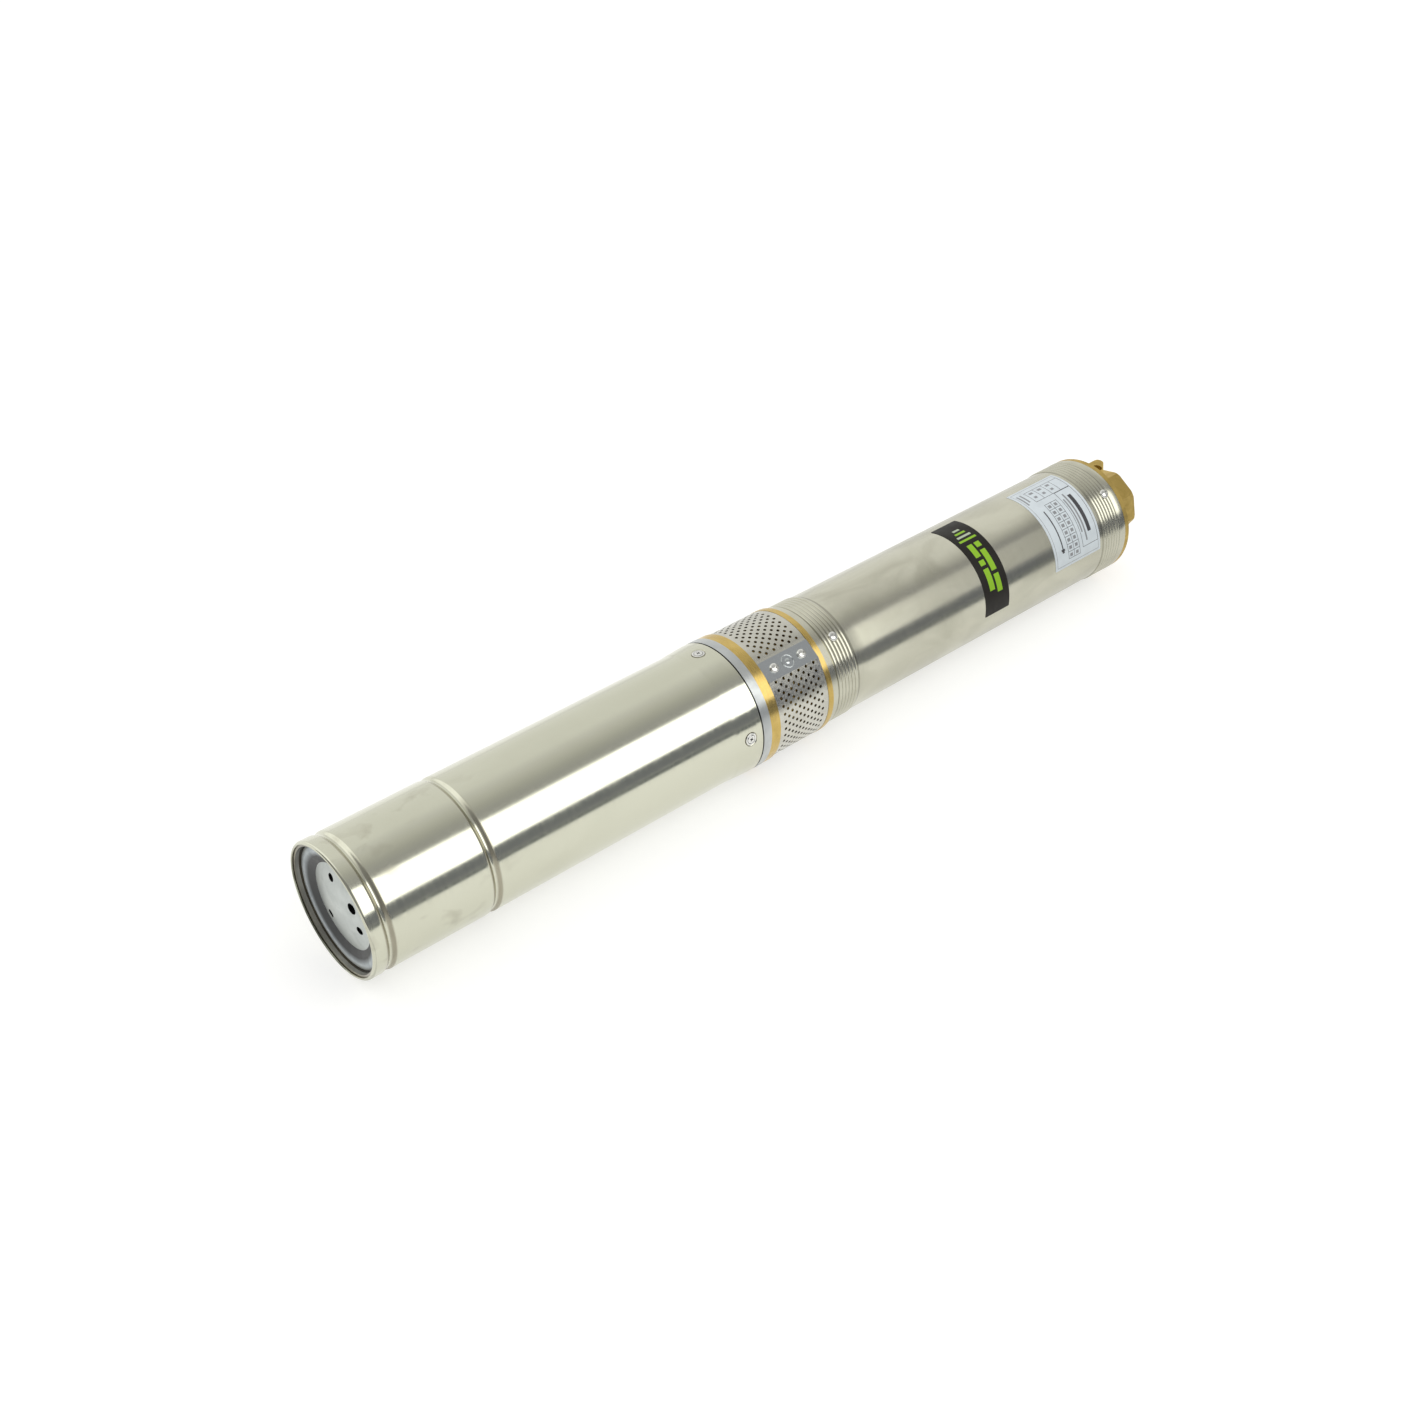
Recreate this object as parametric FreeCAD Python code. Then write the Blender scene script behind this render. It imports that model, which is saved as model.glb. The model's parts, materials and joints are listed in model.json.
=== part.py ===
import FreeCAD, Part
import math
import os

from FreeCAD import Vector

# A submersible pump for a 4 inch borehole, lying on its side. The motor is at low x, the
# suction strainer in the middle and the pump stages and outlet at high x. All sizes are in
# millimetres. Every piece is drawn with the pump axis on x and x = 0 at the motor's foot,
# and is moved to the row's frame when it is written. Angles round the axis are in degrees,
# from +y towards +z.

# Gaps between pieces
fit_gap = 0.05
running_gap = 0.06
race_gap = 0.06
neck_gap = 0.25
air_gap = 0.35

# How far a cutting bar runs past the face that it cuts, and a joined piece into its neighbour
cut_margin = 1.0
join_margin = 1.0

# Motor shell, a rolled and grooved steel tube
shell_diameter = 98.0
shell_wall = 1.2
groove_width = 8.0
groove_depth = 1.8
rim_length = 9.1
rim_roll_radius = 2.3
flare_height = 1.2
flare_step_height = 0.4
flare_step_length = 3.0
flare_taper_length = 14.0
seam_width = 0.8
seam_depth = 2.0

# Bottom cover with its vent plate, retaining ring and pressure equalising diaphragm
cover_shoulder_depth = 4.6
cover_ridge_inset_width = 3.1
cover_ridge_width = 8.6
cover_ridge_height = 1.3
cover_ridge_foot_depth = 1.5
cover_ridge_flank_width = 0.4
cover_length = 24.0
cover_wall = 6.6
vent_plate_depth = 8.35
vent_plate_diameter = 62.0
vent_plate_thickness = 1.5
vent_plate_rise = 2.8
vent_hole_diameter = 6.0
vent_hole_centre_radius = 21.9
vent_hole_count = 3
vent_hole_first_angle = 72.4
fill_hole_diameter = 8.0
fill_hole_centre_radius = 17.5
fill_hole_angle = 147.8
fill_dimple_diameter = 13.0
fill_dimple_depth = 0.8
retaining_ring_width = 3.0
retaining_ring_height = 2.7
retaining_ring_gap_angle = 12.0
retaining_ring_gap_start_angle = 130.0
cover_lip_width = 5.0
cover_lip_thickness = 2.5
diaphragm_thickness = 1.5
diaphragm_depth = 14.0
diaphragm_lip_gap = 1.0

# Seal rings inside the shell and inside the pump tube
shell_seal_section_diameter = 2.4
shell_seal_land_width = 1.5
shell_seal_groove_width = 3.2
tube_seal_section_diameter = 1.4
tube_seal_groove_width = 1.9
tube_seal_land_width = 3.0

# Capacitor
capacitor_diameter = 45.0
capacitor_length = 52.0
capacitor_edge_width = 2.0
terminal_length = 6.0
terminal_width = 6.3
terminal_thickness = 0.8
terminal_spacing_width = 14.0
capacitor_gap = 4.45
socket_wall = 3.0
socket_depth = 12.0

# Lower bearing bracket and bearing
lower_disc_thickness = 14.0
lower_hub_wall = 5.0
lower_hub_height = 4.0
wave_spring_height = 2.3
wave_spring_thickness = 0.4
wave_spring_width = 3.0
wave_count = 4
wave_points_per_wave = 6
bracket_hole_diameter = 10.0
bracket_hole_circle_diameter = 68.0
bracket_hole_count = 4
bracket_hole_first_angle = 45.0
lower_bearing_bore_diameter = 15.0
lower_bearing_diameter = 35.0
lower_bearing_width = 11.0
lower_ball_diameter = 5.95
upper_bearing_bore_diameter = 17.0
upper_bearing_diameter = 40.0
upper_bearing_width = 12.0
upper_ball_diameter = 6.75
ball_count = 8
cage_thickness = 1.8
cage_width_ratio = 1.25
pocket_gap = 0.12

# Stator and rotor
winding_gap = 8.0
end_turn_length = 26.0
end_turn_inner_diameter = 58.0
end_turn_gap = 4.25
end_turn_edge_radius = 6.0
core_length = 120.0
stator_bore_diameter = 50.6
slot_count = 24
slot_width = 4.0
slot_opening_width = 1.6
core_back_thickness = 7.75
slot_top_diameter = 56.0
slot_liner_thickness = 0.1
rotor_bar_count = 18
rotor_bar_diameter = 4.0
rotor_bar_circle_diameter = 42.6
end_ring_length = 8.0
end_ring_bore_diameter = 26.0
end_ring_edge_width = 0.5
core_shaft_diameter = 22.0

# Upper bearing bracket with its oil chamber and shaft seals
upper_lead_in_length = 8.4
upper_web_thickness = 4.0
web_hole_diameter = 19.0
lip_seal_diameter = 30.0
lip_seal_width = 7.0
lip_seal_lip_thickness = 1.6
oil_chamber_diameter = 48.0
oil_chamber_length = 9.1
upper_ring_width = 7.2
shell_screw_setback_length = 10.6
shell_screw_head_diameter = 9.2
shell_screw_head_height = 2.1
shell_screw_thread_diameter = 5.0
shell_screw_length = 9.0
shell_screw_count = 4
shell_screw_first_angle = 81.5
seal_shaft_diameter = 16.0
seal_seat_width = 6.0
seal_seat_diameter = 30.0
seal_seat_bore_diameter = 18.0
seal_head_length = 8.0
seal_head_diameter = 27.0
seal_spring_gap = 0.1
seal_shoulder_gap = 0.8
seal_spring_wire_diameter = 1.0
seal_spring_turns = 3.5

# Inlet body, strainer and coupling
inlet_flange_setback_height = 0.2
inlet_flange_width = 8.5
inlet_spigot_diameter = 60.0
inlet_spigot_length = 6.3
seal_seat_shaft_gap = 1.0
strainer_length = 47.1
strainer_setback_height = 1.1
strainer_wall = 0.8
strainer_end_gap = 0.1
strainer_hole_diameter = 2.3
strainer_row_pitch = 3.045
strainer_hole_pitch = 7.1
strainer_hole_count = 6
strainer_blank_rows = 6
strainer_first_row_angle = 137.9
strainer_overlap_start_angle = 117.7
strainer_overlap_end_angle = 135.6
strainer_overlap_height = 0.7
strainer_overlap_end_height = 0.12
stamp_diameter = 10.8
stamp_line_width = 0.9
stamp_height = 0.35
pillar_count = 4
pillar_depth = 12.0
pillar_angle = 26.0
pillar_first_angle = 127.2
strainer_screw_spacing_length = 25.7
pan_screw_head_diameter = 7.8
pan_screw_head_height = 2.6
pan_screw_thread_diameter = 4.0
pan_screw_length = 6.0
pan_screw_recess_depth = 1.2
inlet_top_ring_width = 4.7
inlet_top_ring_setback_height = 0.9
inlet_funnel_wall = 0.9
coupling_diameter = 25.0
coupling_length = 40.0
coupling_setback_length = 2.0
shaft_end_gap = 0.5
shaft_edge_width = 0.8

# Pump tube with its rolled thread zones
tube_diameter = 93.0
tube_wall = 1.2
thread_crest_height = 0.8
thread_pitch = 3.17
thread_count = 6
tube_lower_band_width = 6.4
tube_lower_band_height = 1.2
tube_upper_band_width = 5.1
tube_upper_band_height = 0.9
tube_lower_band_edge_height = 0.3
lock_screw_angle = 126.2
lower_lock_screw_length = 8.56
upper_lock_screw_length = 15.03

# Pump stages
stage_count = 7
stage_pitch = 34.0
inlet_thread_length = 29.1
bowl_wall = 2.3
bowl_lip_width = 2.0
bowl_lip_thickness = 1.2
eye_diameter = 32.0
bowl_plate_thickness = 2.0
eye_plate_setback_length = 1.0
diffuser_rim_gap = 4.0
diffuser_start_depth = 17.5
bowl_vane_count = 6
bowl_vane_sweep = -55.0
bowl_vane_inset_width = 1.0
vane_thickness = 1.8
vane_middle_share = 0.42
impeller_tip_gap = 3.5
impeller_neck_wall = 2.1
impeller_neck_length = 6.1
impeller_start_depth = 3.5
shroud_thickness = 1.8
impeller_vane_width = 8.7
impeller_vane_count = 6
impeller_vane_sweep = 70.0
impeller_vane_inset_width = 0.5
impeller_hub_start_depth = 4.0
hub_wall = 2.2
pump_shaft_diameter = 14.0
journal_diameter = 12.0
shaft_nut_height = 6.0
shaft_nut_sides = 6
shaft_nut_flats_width = 19.0

# Top bearing carrier
carrier_length = 24.0
carrier_flange_width = 4.0
carrier_hub_setback_length = 1.0
carrier_hub_length = 12.0
carrier_hub_wall = 3.0
carrier_rib_count = 4
carrier_rib_thickness = 3.0
bush_wall = 2.9

# Delivery head with its check valve
head_spigot_length = 31.6
head_flange_height = 0.8
head_flange_width = 5.0
head_flange_edge_width = 0.8
boss_length = 32.4
boss_flats_width = 51.7
boss_sides = 8
boss_first_corner_angle = 98.5
boss_edge_width = 1.0
boss_fillet_height = 5.6
boss_fillet_width = 8.1
outlet_thread_diameter = 38.95
outlet_thread_length = 22.0
outlet_mouth_edge_width = 0.8
thread_relief_diameter = 41.4
thread_relief_length = 2.0
valve_chamber_diameter = 37.0
valve_seat_bore_diameter = 25.0
valve_seat_thickness = 4.0
head_funnel_depth = 6.0
poppet_diameter = 29.0
poppet_thickness = 3.9
poppet_seat_gap = 0.05
stem_diameter = 6.0
valve_travel_length = 9.0
guide_ring_height = 8.0
guide_ring_wall = 1.8
guide_hub_wall = 2.0
guide_gap = 0.15
guide_rib_height = 3.0
guide_rib_thickness = 2.0
guide_rib_count = 3
valve_spring_wire_diameter = 1.0
valve_spring_turns = 3.5
valve_spring_diameter = 11.0
valve_spring_length = 14.0
stem_margin_length = 1.0
poppet_edge_width = 1.0
stem_edge_width = 0.6

# Rope lug on the delivery head
lug_angle = 95.0
lug_inset_width = 10.9
lug_thickness = 5.0
lug_side_width = 12.5
lug_slope_angle = 40.2
lug_base_width = 23.5
lug_tip_radius = 4.0
lug_hole_diameter = 7.6
lug_hole_height = 10.1
lug_hole_side_width = 3.9
lug_root_depth = 1.5

# Cable way and gland
lead_diameter = 5.5
lead_wall_gap = 2.25
lead_seal_wall = 1.0
lead_bowl_gap = 0.25
lead_angle = 285.0
lead_hole_gap = 0.15
gland_bore_depth = 10.0
gland_bush_wall = 1.75
gland_bush_length = 13.5
gland_nut_flats_width = 13.0
gland_nut_height = 10.0
gland_nut_sides = 6
gland_entry_diameter = 6.2
lead_bush_length = 6.0

# Labels stuck on the pump tube
label_thickness = 0.12
band_label_width = 26.0
band_label_setback_length = 148.8
band_label_first_angle = 69.9
band_label_length = 91.6
rating_label_width = 52.65
rating_label_setback_length = 56.2
rating_label_first_angle = 76.1
rating_label_length = 80.3
label_corner_radius = 0.8

# Radii that several pieces share
shell_radius = shell_diameter / 2
shell_inner = shell_radius - shell_wall
flare_radius = shell_radius + flare_height
slot_top_radius = slot_top_diameter / 2
tube_radius = tube_diameter / 2
tube_inner = tube_radius - tube_wall
spigot_radius = tube_inner - fit_gap
bracket_radius = shell_inner - fit_gap
inlet_flange_radius = flare_radius - inlet_flange_setback_height
strainer_radius = inlet_flange_radius - strainer_setback_height
top_ring_radius = inlet_flange_radius - inlet_top_ring_setback_height
lead_hole_radius = lead_diameter / 2 + lead_hole_gap
lead_in_tube = tube_inner - lead_wall_gap - lead_diameter / 2
lead_in_bracket = bracket_radius - shell_seal_section_diameter - lead_seal_wall - lead_hole_radius
lead_radius = min(lead_in_tube, lead_in_bracket)
bowl_radius = lead_radius - lead_diameter / 2 - lead_bowl_gap
slot_bottom_radius = bracket_radius - core_back_thickness
head_flange_radius = tube_radius + head_flange_height
lug_radius = head_flange_radius - lug_inset_width
thread_length = thread_count * thread_pitch
thread_radius = tube_radius + thread_crest_height
gland_bush_radius = lead_diameter / 2 + fit_gap + gland_bush_wall
bowl_inner = bowl_radius - bowl_wall
lip_radius = bowl_inner + bowl_lip_thickness
hub_radius = pump_shaft_diameter / 2 + fit_gap + hub_wall
eye_radius = eye_diameter / 2

# Places along the axis, from the motor's foot to the outlet
rim_groove_x = rim_length + groove_width / 2
vent_plate_back = vent_plate_depth + vent_plate_thickness
diaphragm_end = vent_plate_back + diaphragm_depth
capacitor_x = diaphragm_end + capacitor_gap + terminal_length
lower_bracket_x = capacitor_x + capacitor_length
lower_disc_top = lower_bracket_x + lower_disc_thickness
bracket_groove_x = lower_bracket_x + lower_disc_thickness / 2
lower_hub_top = lower_disc_top + lower_hub_height
lower_bearing_x = lower_hub_top - lower_bearing_width
winding_x = lower_disc_top + winding_gap
core_x = winding_x + end_turn_length
core_end = core_x + core_length
winding_end = core_end + end_turn_length
upper_bracket_x = winding_end + winding_gap
upper_bearing_x = upper_bracket_x
upper_bearing_end = upper_bearing_x + upper_bearing_width
flare_x = upper_bracket_x + upper_lead_in_length
lip_seal_x = upper_bearing_end + upper_web_thickness
lip_seal_end = lip_seal_x + lip_seal_width
seal_shoulder_x = lip_seal_end + seal_shoulder_gap
oil_chamber_end = lip_seal_end + oil_chamber_length
upper_bracket_end = oil_chamber_end + inlet_spigot_length
upper_ring_x = upper_bracket_end - upper_ring_width
shell_end = upper_ring_x - seam_width
flare_end = flare_x + flare_step_length + flare_taper_length
shell_screw_x = shell_end - shell_screw_setback_length
inlet_flange_end = upper_bracket_end + inlet_flange_width
seal_seat_x = upper_bracket_end + fit_gap
seal_head_x = seal_seat_x - running_gap - seal_head_length
strainer_end = inlet_flange_end + strainer_length
tube_x = strainer_end + inlet_top_ring_width
coupling_x = inlet_flange_end + coupling_setback_length
shaft_joint_x = coupling_x + coupling_length / 2
stages_x = tube_x + inlet_thread_length
carrier_x = stages_x + stage_count * stage_pitch
head_x = carrier_x + carrier_length
flange_x = head_x + head_spigot_length
flange_end = flange_x + head_flange_width
outlet_x = flange_end + boss_length
outlet_thread_x = outlet_x - outlet_thread_length
valve_seat_x = head_x + head_funnel_depth + valve_seat_thickness
poppet_x = valve_seat_x + poppet_seat_gap
poppet_top = poppet_x + poppet_thickness
guide_rib_x = poppet_top + valve_spring_length
stem_end = outlet_thread_x - valve_travel_length - stem_margin_length
lower_thread_x = tube_x + tube_lower_band_width + thread_pitch / 2
upper_thread_x = flange_x - tube_upper_band_width - thread_pitch / 2 - thread_length
rest_radius = max(shell_radius, flare_radius, inlet_flange_radius)


def turned(outline):
    """Solid turned about the pump axis. A corner is (x, r); (x, r, x, r) adds the mid point of an arc."""
    edges = []
    for index, start in enumerate(outline):
        end = outline[(index + 1) % len(outline)]
        first = Vector(start[0], start[1], 0)
        last = Vector(end[0], end[1], 0)
        if len(end) == 4:
            middle = Vector(end[2], end[3], 0)
            edges.append(Part.Arc(first, middle, last).toShape())
        else:
            edges.append(Part.LineSegment(first, last).toShape())
    face = Part.Face(Part.Wire(edges))
    return face.revolve(Vector(0, 0, 0), Vector(1, 0, 0), 360)


def ring(start, end, inner, outer):
    """Plain ring about the pump axis, given by its radii."""
    return turned([(start, inner), (start, outer), (end, outer), (end, inner)])


def disc(start, end, radius):
    """Plain round bar about the pump axis."""
    return Part.makeCylinder(radius, end - start, Vector(start, 0, 0), Vector(1, 0, 0))


def outward(angle):
    """Unit vector away from the axis at an angle round it."""
    return Vector(0, math.cos(math.radians(angle)), math.sin(math.radians(angle)))


def polar(x, radius, angle):
    """Point at a radius and an angle round the axis."""
    return Vector(x, 0, 0) + outward(angle) * radius


def axial_hole(start, end, hole_radius, radius, angle):
    """Round bar along x, off the axis, used to cut a hole."""
    return Part.makeCylinder(hole_radius, end - start, polar(start, radius, angle), Vector(1, 0, 0))


def through_hole(start, end, hole_radius, radius, angle):
    """Round bar along x that runs past both faces of what it cuts."""
    return axial_hole(start - cut_margin, end + cut_margin, hole_radius, radius, angle)


def radial_bar(x, angle, inner, outer, radius):
    """Round bar that points away from the axis."""
    return Part.makeCylinder(radius, outer - inner, polar(x, inner, angle), outward(angle))


def spoke(start, end, inner, outer, width):
    """Flat sided bar at angle 0, between two places along x and two distances from the axis."""
    return Part.makeBox(end - start, outer - inner, width, Vector(start, inner, -width / 2))


def around(shape, count):
    """Copies of a shape, evenly spaced round the axis."""
    copies = []
    for index in range(count):
        copy = shape.copy()
        copy.rotate(Vector(0, 0, 0), Vector(1, 0, 0), 360.0 * index / count)
        copies.append(copy)
    return copies


def joined(shapes):
    """One solid from touching or overlapping shapes."""
    shape = shapes[0].fuse(shapes[1:]).removeSplitter()
    return shape.Solids[0]


def sector(start, end, inner, outer, first_angle, arc):
    """Part of a ring between two angles."""
    corners = [
        polar(start, inner, first_angle),
        polar(start, outer, first_angle),
        polar(end, outer, first_angle),
        polar(end, inner, first_angle),
    ]
    face = Part.Face(Part.makePolygon(corners + corners[:1]))
    return face.revolve(Vector(0, 0, 0), Vector(1, 0, 0), arc)


def prism(start, end, flats, sides, first_corner, centre_radius=0.0, centre_angle=0.0):
    """Bar with a regular polygon section, such as a nut, measured across its flats."""
    corner_radius = flats / 2 / math.cos(math.pi / sides)
    centre = polar(start, centre_radius, centre_angle)
    corners = []
    for index in range(sides):
        corners.append(centre + outward(first_corner + 360.0 * index / sides) * corner_radius)
    face = Part.Face(Part.makePolygon(corners + corners[:1]))
    return face.extrude(Vector(end - start, 0, 0))


def groove(centre, radius, direction):
    """Corners of a rolled groove in a turned outline, as two S curves; direction is +1 or -1 in x."""
    half = groove_width / 2
    turn = 2 * math.atan2(groove_depth, half)
    bend = half / 2 / math.sin(turn)
    side = bend * math.sin(turn / 2)
    drop = bend * (1 - math.cos(turn / 2))
    start = centre - direction * half
    end = centre + direction * half
    bottom = radius - groove_depth
    halfway = radius - groove_depth / 2
    return [
        (start, radius),
        (start + direction * half / 2, halfway, start + direction * side, radius - drop),
        (centre, bottom, centre - direction * side, bottom + drop),
        (end - direction * half / 2, halfway, centre + direction * side, bottom + drop),
        (end, radius, end - direction * side, radius - drop),
    ]


def coil(start, end, mean_radius, wire, turns):
    """Coil spring about the pump axis, from its wire's first centre to its last."""
    pitch = (end - start - wire) / turns
    path = Part.makeHelix(pitch, pitch * turns, mean_radius)
    section = Part.makeCircle(wire / 2, Vector(mean_radius, 0, 0), Vector(0, 1, 0))
    spring = Part.Wire(path.Edges).makePipeShell([Part.Wire([section])], True, True)
    spring.rotate(Vector(0, 0, 0), Vector(0, 1, 0), 90)
    spring.translate(Vector(start + wire / 2, 0, 0))
    return spring.Solids[0] if spring.Solids else spring


def lead_hole(start, end):
    """Bar that cuts the way for the internal motor lead."""
    return through_hole(start, end, lead_hole_radius, lead_radius, lead_angle)


def shell_radius_at(x):
    """Outer radius of the shell where it flares over the upper bracket."""
    step_end = flare_x + flare_step_length
    share = (x - step_end) / flare_taper_length
    start_radius = shell_radius + flare_step_height
    return start_radius + (flare_radius - start_radius) * min(1.0, max(0.0, share))


def motor_shell():
    """Shell with its end rolled inwards over the retaining ring."""
    step_end = flare_x + flare_step_length
    inner_step = shell_inner + flare_step_height
    inner_flare = flare_radius - shell_wall
    lip = shell_radius - rim_roll_radius
    inner_roll = rim_roll_radius - shell_wall
    share = math.sqrt(0.5)
    outer_middle = (rim_roll_radius * (1 - share), lip + rim_roll_radius * share)
    inner_middle = (rim_roll_radius - inner_roll * share, lip + inner_roll * share)
    outline = [(shell_wall, lip, *inner_middle), (0, lip), (rim_roll_radius, shell_radius, *outer_middle)]
    outline += groove(rim_groove_x, shell_radius, 1)
    outline += groove(bracket_groove_x, shell_radius, 1)
    outline += [(flare_x, shell_radius), (step_end, shell_radius + flare_step_height)]
    outline += [(flare_end, flare_radius), (shell_end, flare_radius)]
    outline += [(shell_end, inner_flare), (flare_end, inner_flare)]
    outline += [(step_end, inner_step), (flare_x, shell_inner)]
    outline += groove(bracket_groove_x, shell_inner, -1)
    outline += groove(rim_groove_x, shell_inner, -1)
    outline.append((rim_roll_radius, shell_inner))
    return turned(outline).cut(shell_screw_seats(fit_gap)).Solids[0]


def retaining_ring():
    """Open ring, its front corner cut away under the rolled end of the shell."""
    start = cover_shoulder_depth - retaining_ring_width
    inner = bracket_radius - retaining_ring_height
    edge = max(rim_roll_radius - start, fit_gap)
    whole = turned([
        (start, inner),
        (start, bracket_radius - edge),
        (start + edge, bracket_radius),
        (cover_shoulder_depth, bracket_radius),
        (cover_shoulder_depth, inner),
    ])
    opening = sector(
        start - cut_margin,
        cover_shoulder_depth + cut_margin,
        shell_radius / 2,
        shell_radius,
        retaining_ring_gap_start_angle,
        retaining_ring_gap_angle,
    )
    return whole.cut(opening).Solids[0]


def seal_groove(start, bottom, radius):
    """Corners of a square seal ring groove in a turned outline, going up in x."""
    end = start + shell_seal_groove_width
    return [(start, radius), (start, bottom), (end, bottom), (end, radius)]


def shell_seal_bottom():
    """Radius of the bottom of the seal ring grooves that face the shell."""
    return bracket_radius - shell_seal_section_diameter


def cover_seal_x():
    return rim_groove_x + groove_width / 2 + shell_seal_land_width


def bracket_seal_x():
    return upper_bracket_x + shell_seal_land_width


def end_cover():
    ridge_radius = bracket_radius - cover_ridge_inset_width
    ridge_foot = ridge_radius - cover_ridge_width
    ridge_middle = ridge_radius - cover_ridge_width / 2
    ridge_base = cover_shoulder_depth + cover_ridge_foot_depth
    ridge_top = ridge_base - cover_ridge_height
    shoulder = ridge_radius + cover_ridge_flank_width
    plate_seat = vent_plate_diameter / 2 + fit_gap
    lip_radius_inner = vent_plate_diameter / 2 - cover_lip_width
    lip_front = vent_plate_back + diaphragm_thickness
    lip_back = lip_front + cover_lip_thickness
    outline = [(ridge_base, ridge_foot), (ridge_base, ridge_radius, ridge_top, ridge_middle)]
    outline += [(cover_shoulder_depth, shoulder), (cover_shoulder_depth, bracket_radius)]
    outline += groove(rim_groove_x, bracket_radius, 1)
    outline += seal_groove(cover_seal_x(), shell_seal_bottom(), bracket_radius)
    outline += [(cover_length, bracket_radius), (cover_length, bracket_radius - cover_wall)]
    outline += [(lip_back, bracket_radius - cover_wall), (lip_back, lip_radius_inner)]
    outline += [(lip_front, lip_radius_inner), (lip_front, plate_seat), (vent_plate_depth, plate_seat)]
    return turned(outline)


def vent_plate():
    """Plate with a domed front, three vent holes and a filling hole."""
    edge = vent_plate_diameter / 2
    crown = vent_plate_depth - vent_plate_rise
    dome_centre = crown + (edge ** 2 + vent_plate_rise ** 2) / (2 * vent_plate_rise)
    dome_radius = dome_centre - crown
    middle = dome_centre - math.sqrt(dome_radius ** 2 - (edge / 2) ** 2)
    plate = turned([
        (crown, 0),
        (vent_plate_depth, edge, middle, edge / 2),
        (vent_plate_back, edge),
        (vent_plate_back, 0),
    ])
    hole = through_hole(
        crown, vent_plate_back, vent_hole_diameter / 2, vent_hole_centre_radius, vent_hole_first_angle
    )
    fill_hole = through_hole(
        crown, vent_plate_back, fill_hole_diameter / 2, fill_hole_centre_radius, fill_hole_angle
    )
    dimple = fill_dimple(dome_centre, dome_radius)
    return plate.cut(around(hole, vent_hole_count) + [fill_hole, dimple]).Solids[0]


def fill_dimple(dome_centre, dome_radius):
    """Cone that sinks the dome round the filling hole, square to the dome."""
    depth = dome_centre - math.sqrt(dome_radius ** 2 - fill_hole_centre_radius ** 2)
    surface = polar(depth, fill_hole_centre_radius, fill_hole_angle)
    inward = (Vector(dome_centre, 0, 0) - surface).normalize()
    foot = fill_hole_diameter / 2 - fill_dimple_depth
    mouth = fill_dimple_diameter - foot
    start = surface - inward * fill_dimple_depth
    return Part.makeCone(mouth, foot, 2 * fill_dimple_depth, start, inward)


def seal_ring(centre_x, outer, section):
    """Rubber ring of round section, given by its outer radius."""
    return Part.makeTorus(outer - section / 2, section / 2, Vector(centre_x, 0, 0), Vector(1, 0, 0))


def shell_seal_rings():
    half = shell_seal_groove_width / 2
    lower = seal_ring(cover_seal_x() + half, bracket_radius, shell_seal_section_diameter)
    upper = seal_ring(bracket_seal_x() + half, bracket_radius, shell_seal_section_diameter)
    return Part.makeCompound([lower, upper])


def equalising_diaphragm():
    rim = vent_plate_diameter / 2
    cup = rim - cover_lip_width - diaphragm_lip_gap
    inner = cup - diaphragm_thickness
    back = diaphragm_end - diaphragm_thickness
    rim_back = vent_plate_back + diaphragm_thickness
    outline = [(vent_plate_back, inner), (vent_plate_back, rim), (rim_back, rim)]
    outline += [(rim_back, cup), (diaphragm_end, cup), (diaphragm_end, 0)]
    outline += [(back, 0), (back, inner)]
    return turned(outline)


def capacitor():
    radius = capacitor_diameter / 2
    end = capacitor_x + capacitor_length
    can = turned([
        (capacitor_x, 0),
        (capacitor_x, radius - capacitor_edge_width),
        (capacitor_x + capacitor_edge_width, radius),
        (end, radius),
        (end, 0),
    ])
    tabs = []
    for side in (-1, 1):
        corner = Vector(
            capacitor_x - terminal_length,
            side * terminal_spacing_width / 2 - terminal_thickness / 2,
            -terminal_width / 2,
        )
        tabs.append(Part.makeBox(terminal_length, terminal_thickness, terminal_width, corner))
    return joined([can] + tabs)


def lower_bearing_bracket():
    pocket = lower_bearing_diameter / 2 + fit_gap
    hub = pocket + lower_hub_wall
    floor = lower_bearing_x - wave_spring_height
    socket = capacitor_diameter / 2 + fit_gap
    socket_x = lower_bracket_x - socket_depth
    outline = [(lower_bracket_x, 0), (lower_bracket_x, socket), (socket_x, socket)]
    outline += [(socket_x, socket + socket_wall), (lower_bracket_x, socket + socket_wall)]
    outline += [(lower_bracket_x, bracket_radius)]
    outline += groove(bracket_groove_x, bracket_radius, 1)
    outline += [(lower_disc_top, bracket_radius), (lower_disc_top, hub), (lower_hub_top, hub)]
    outline += [(lower_hub_top, pocket), (floor, pocket), (floor, 0)]
    hole = through_hole(
        lower_bracket_x,
        lower_disc_top,
        bracket_hole_diameter / 2,
        bracket_hole_circle_diameter / 2,
        bracket_hole_first_angle,
    )
    return turned(outline).cut(around(hole, bracket_hole_count)).Solids[0]


def wave_spring():
    """Flat ring bent into waves, between the pocket floor and the bearing's outer ring."""
    outer = lower_bearing_diameter / 2 - fit_gap
    lift = (wave_spring_height - wave_spring_thickness) / 2
    middle = lower_bearing_x - wave_spring_height + lift
    rims = []
    for radius in (outer - wave_spring_width, outer):
        points = []
        for step in range(wave_points_per_wave * wave_count):
            angle = 360.0 * step / (wave_points_per_wave * wave_count)
            height = middle + lift * math.sin(math.radians(angle * wave_count))
            points.append(polar(height, radius, angle))
        curve = Part.BSplineCurve()
        curve.interpolate(points, PeriodicFlag=True)
        rims.append(curve.toShape())
    face = Part.makeRuledSurface(rims[0], rims[1])
    return face.extrude(Vector(wave_spring_thickness, 0, 0))


def bearing_pitch_radius(bore, diameter):
    return (bore + diameter) / 4


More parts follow.
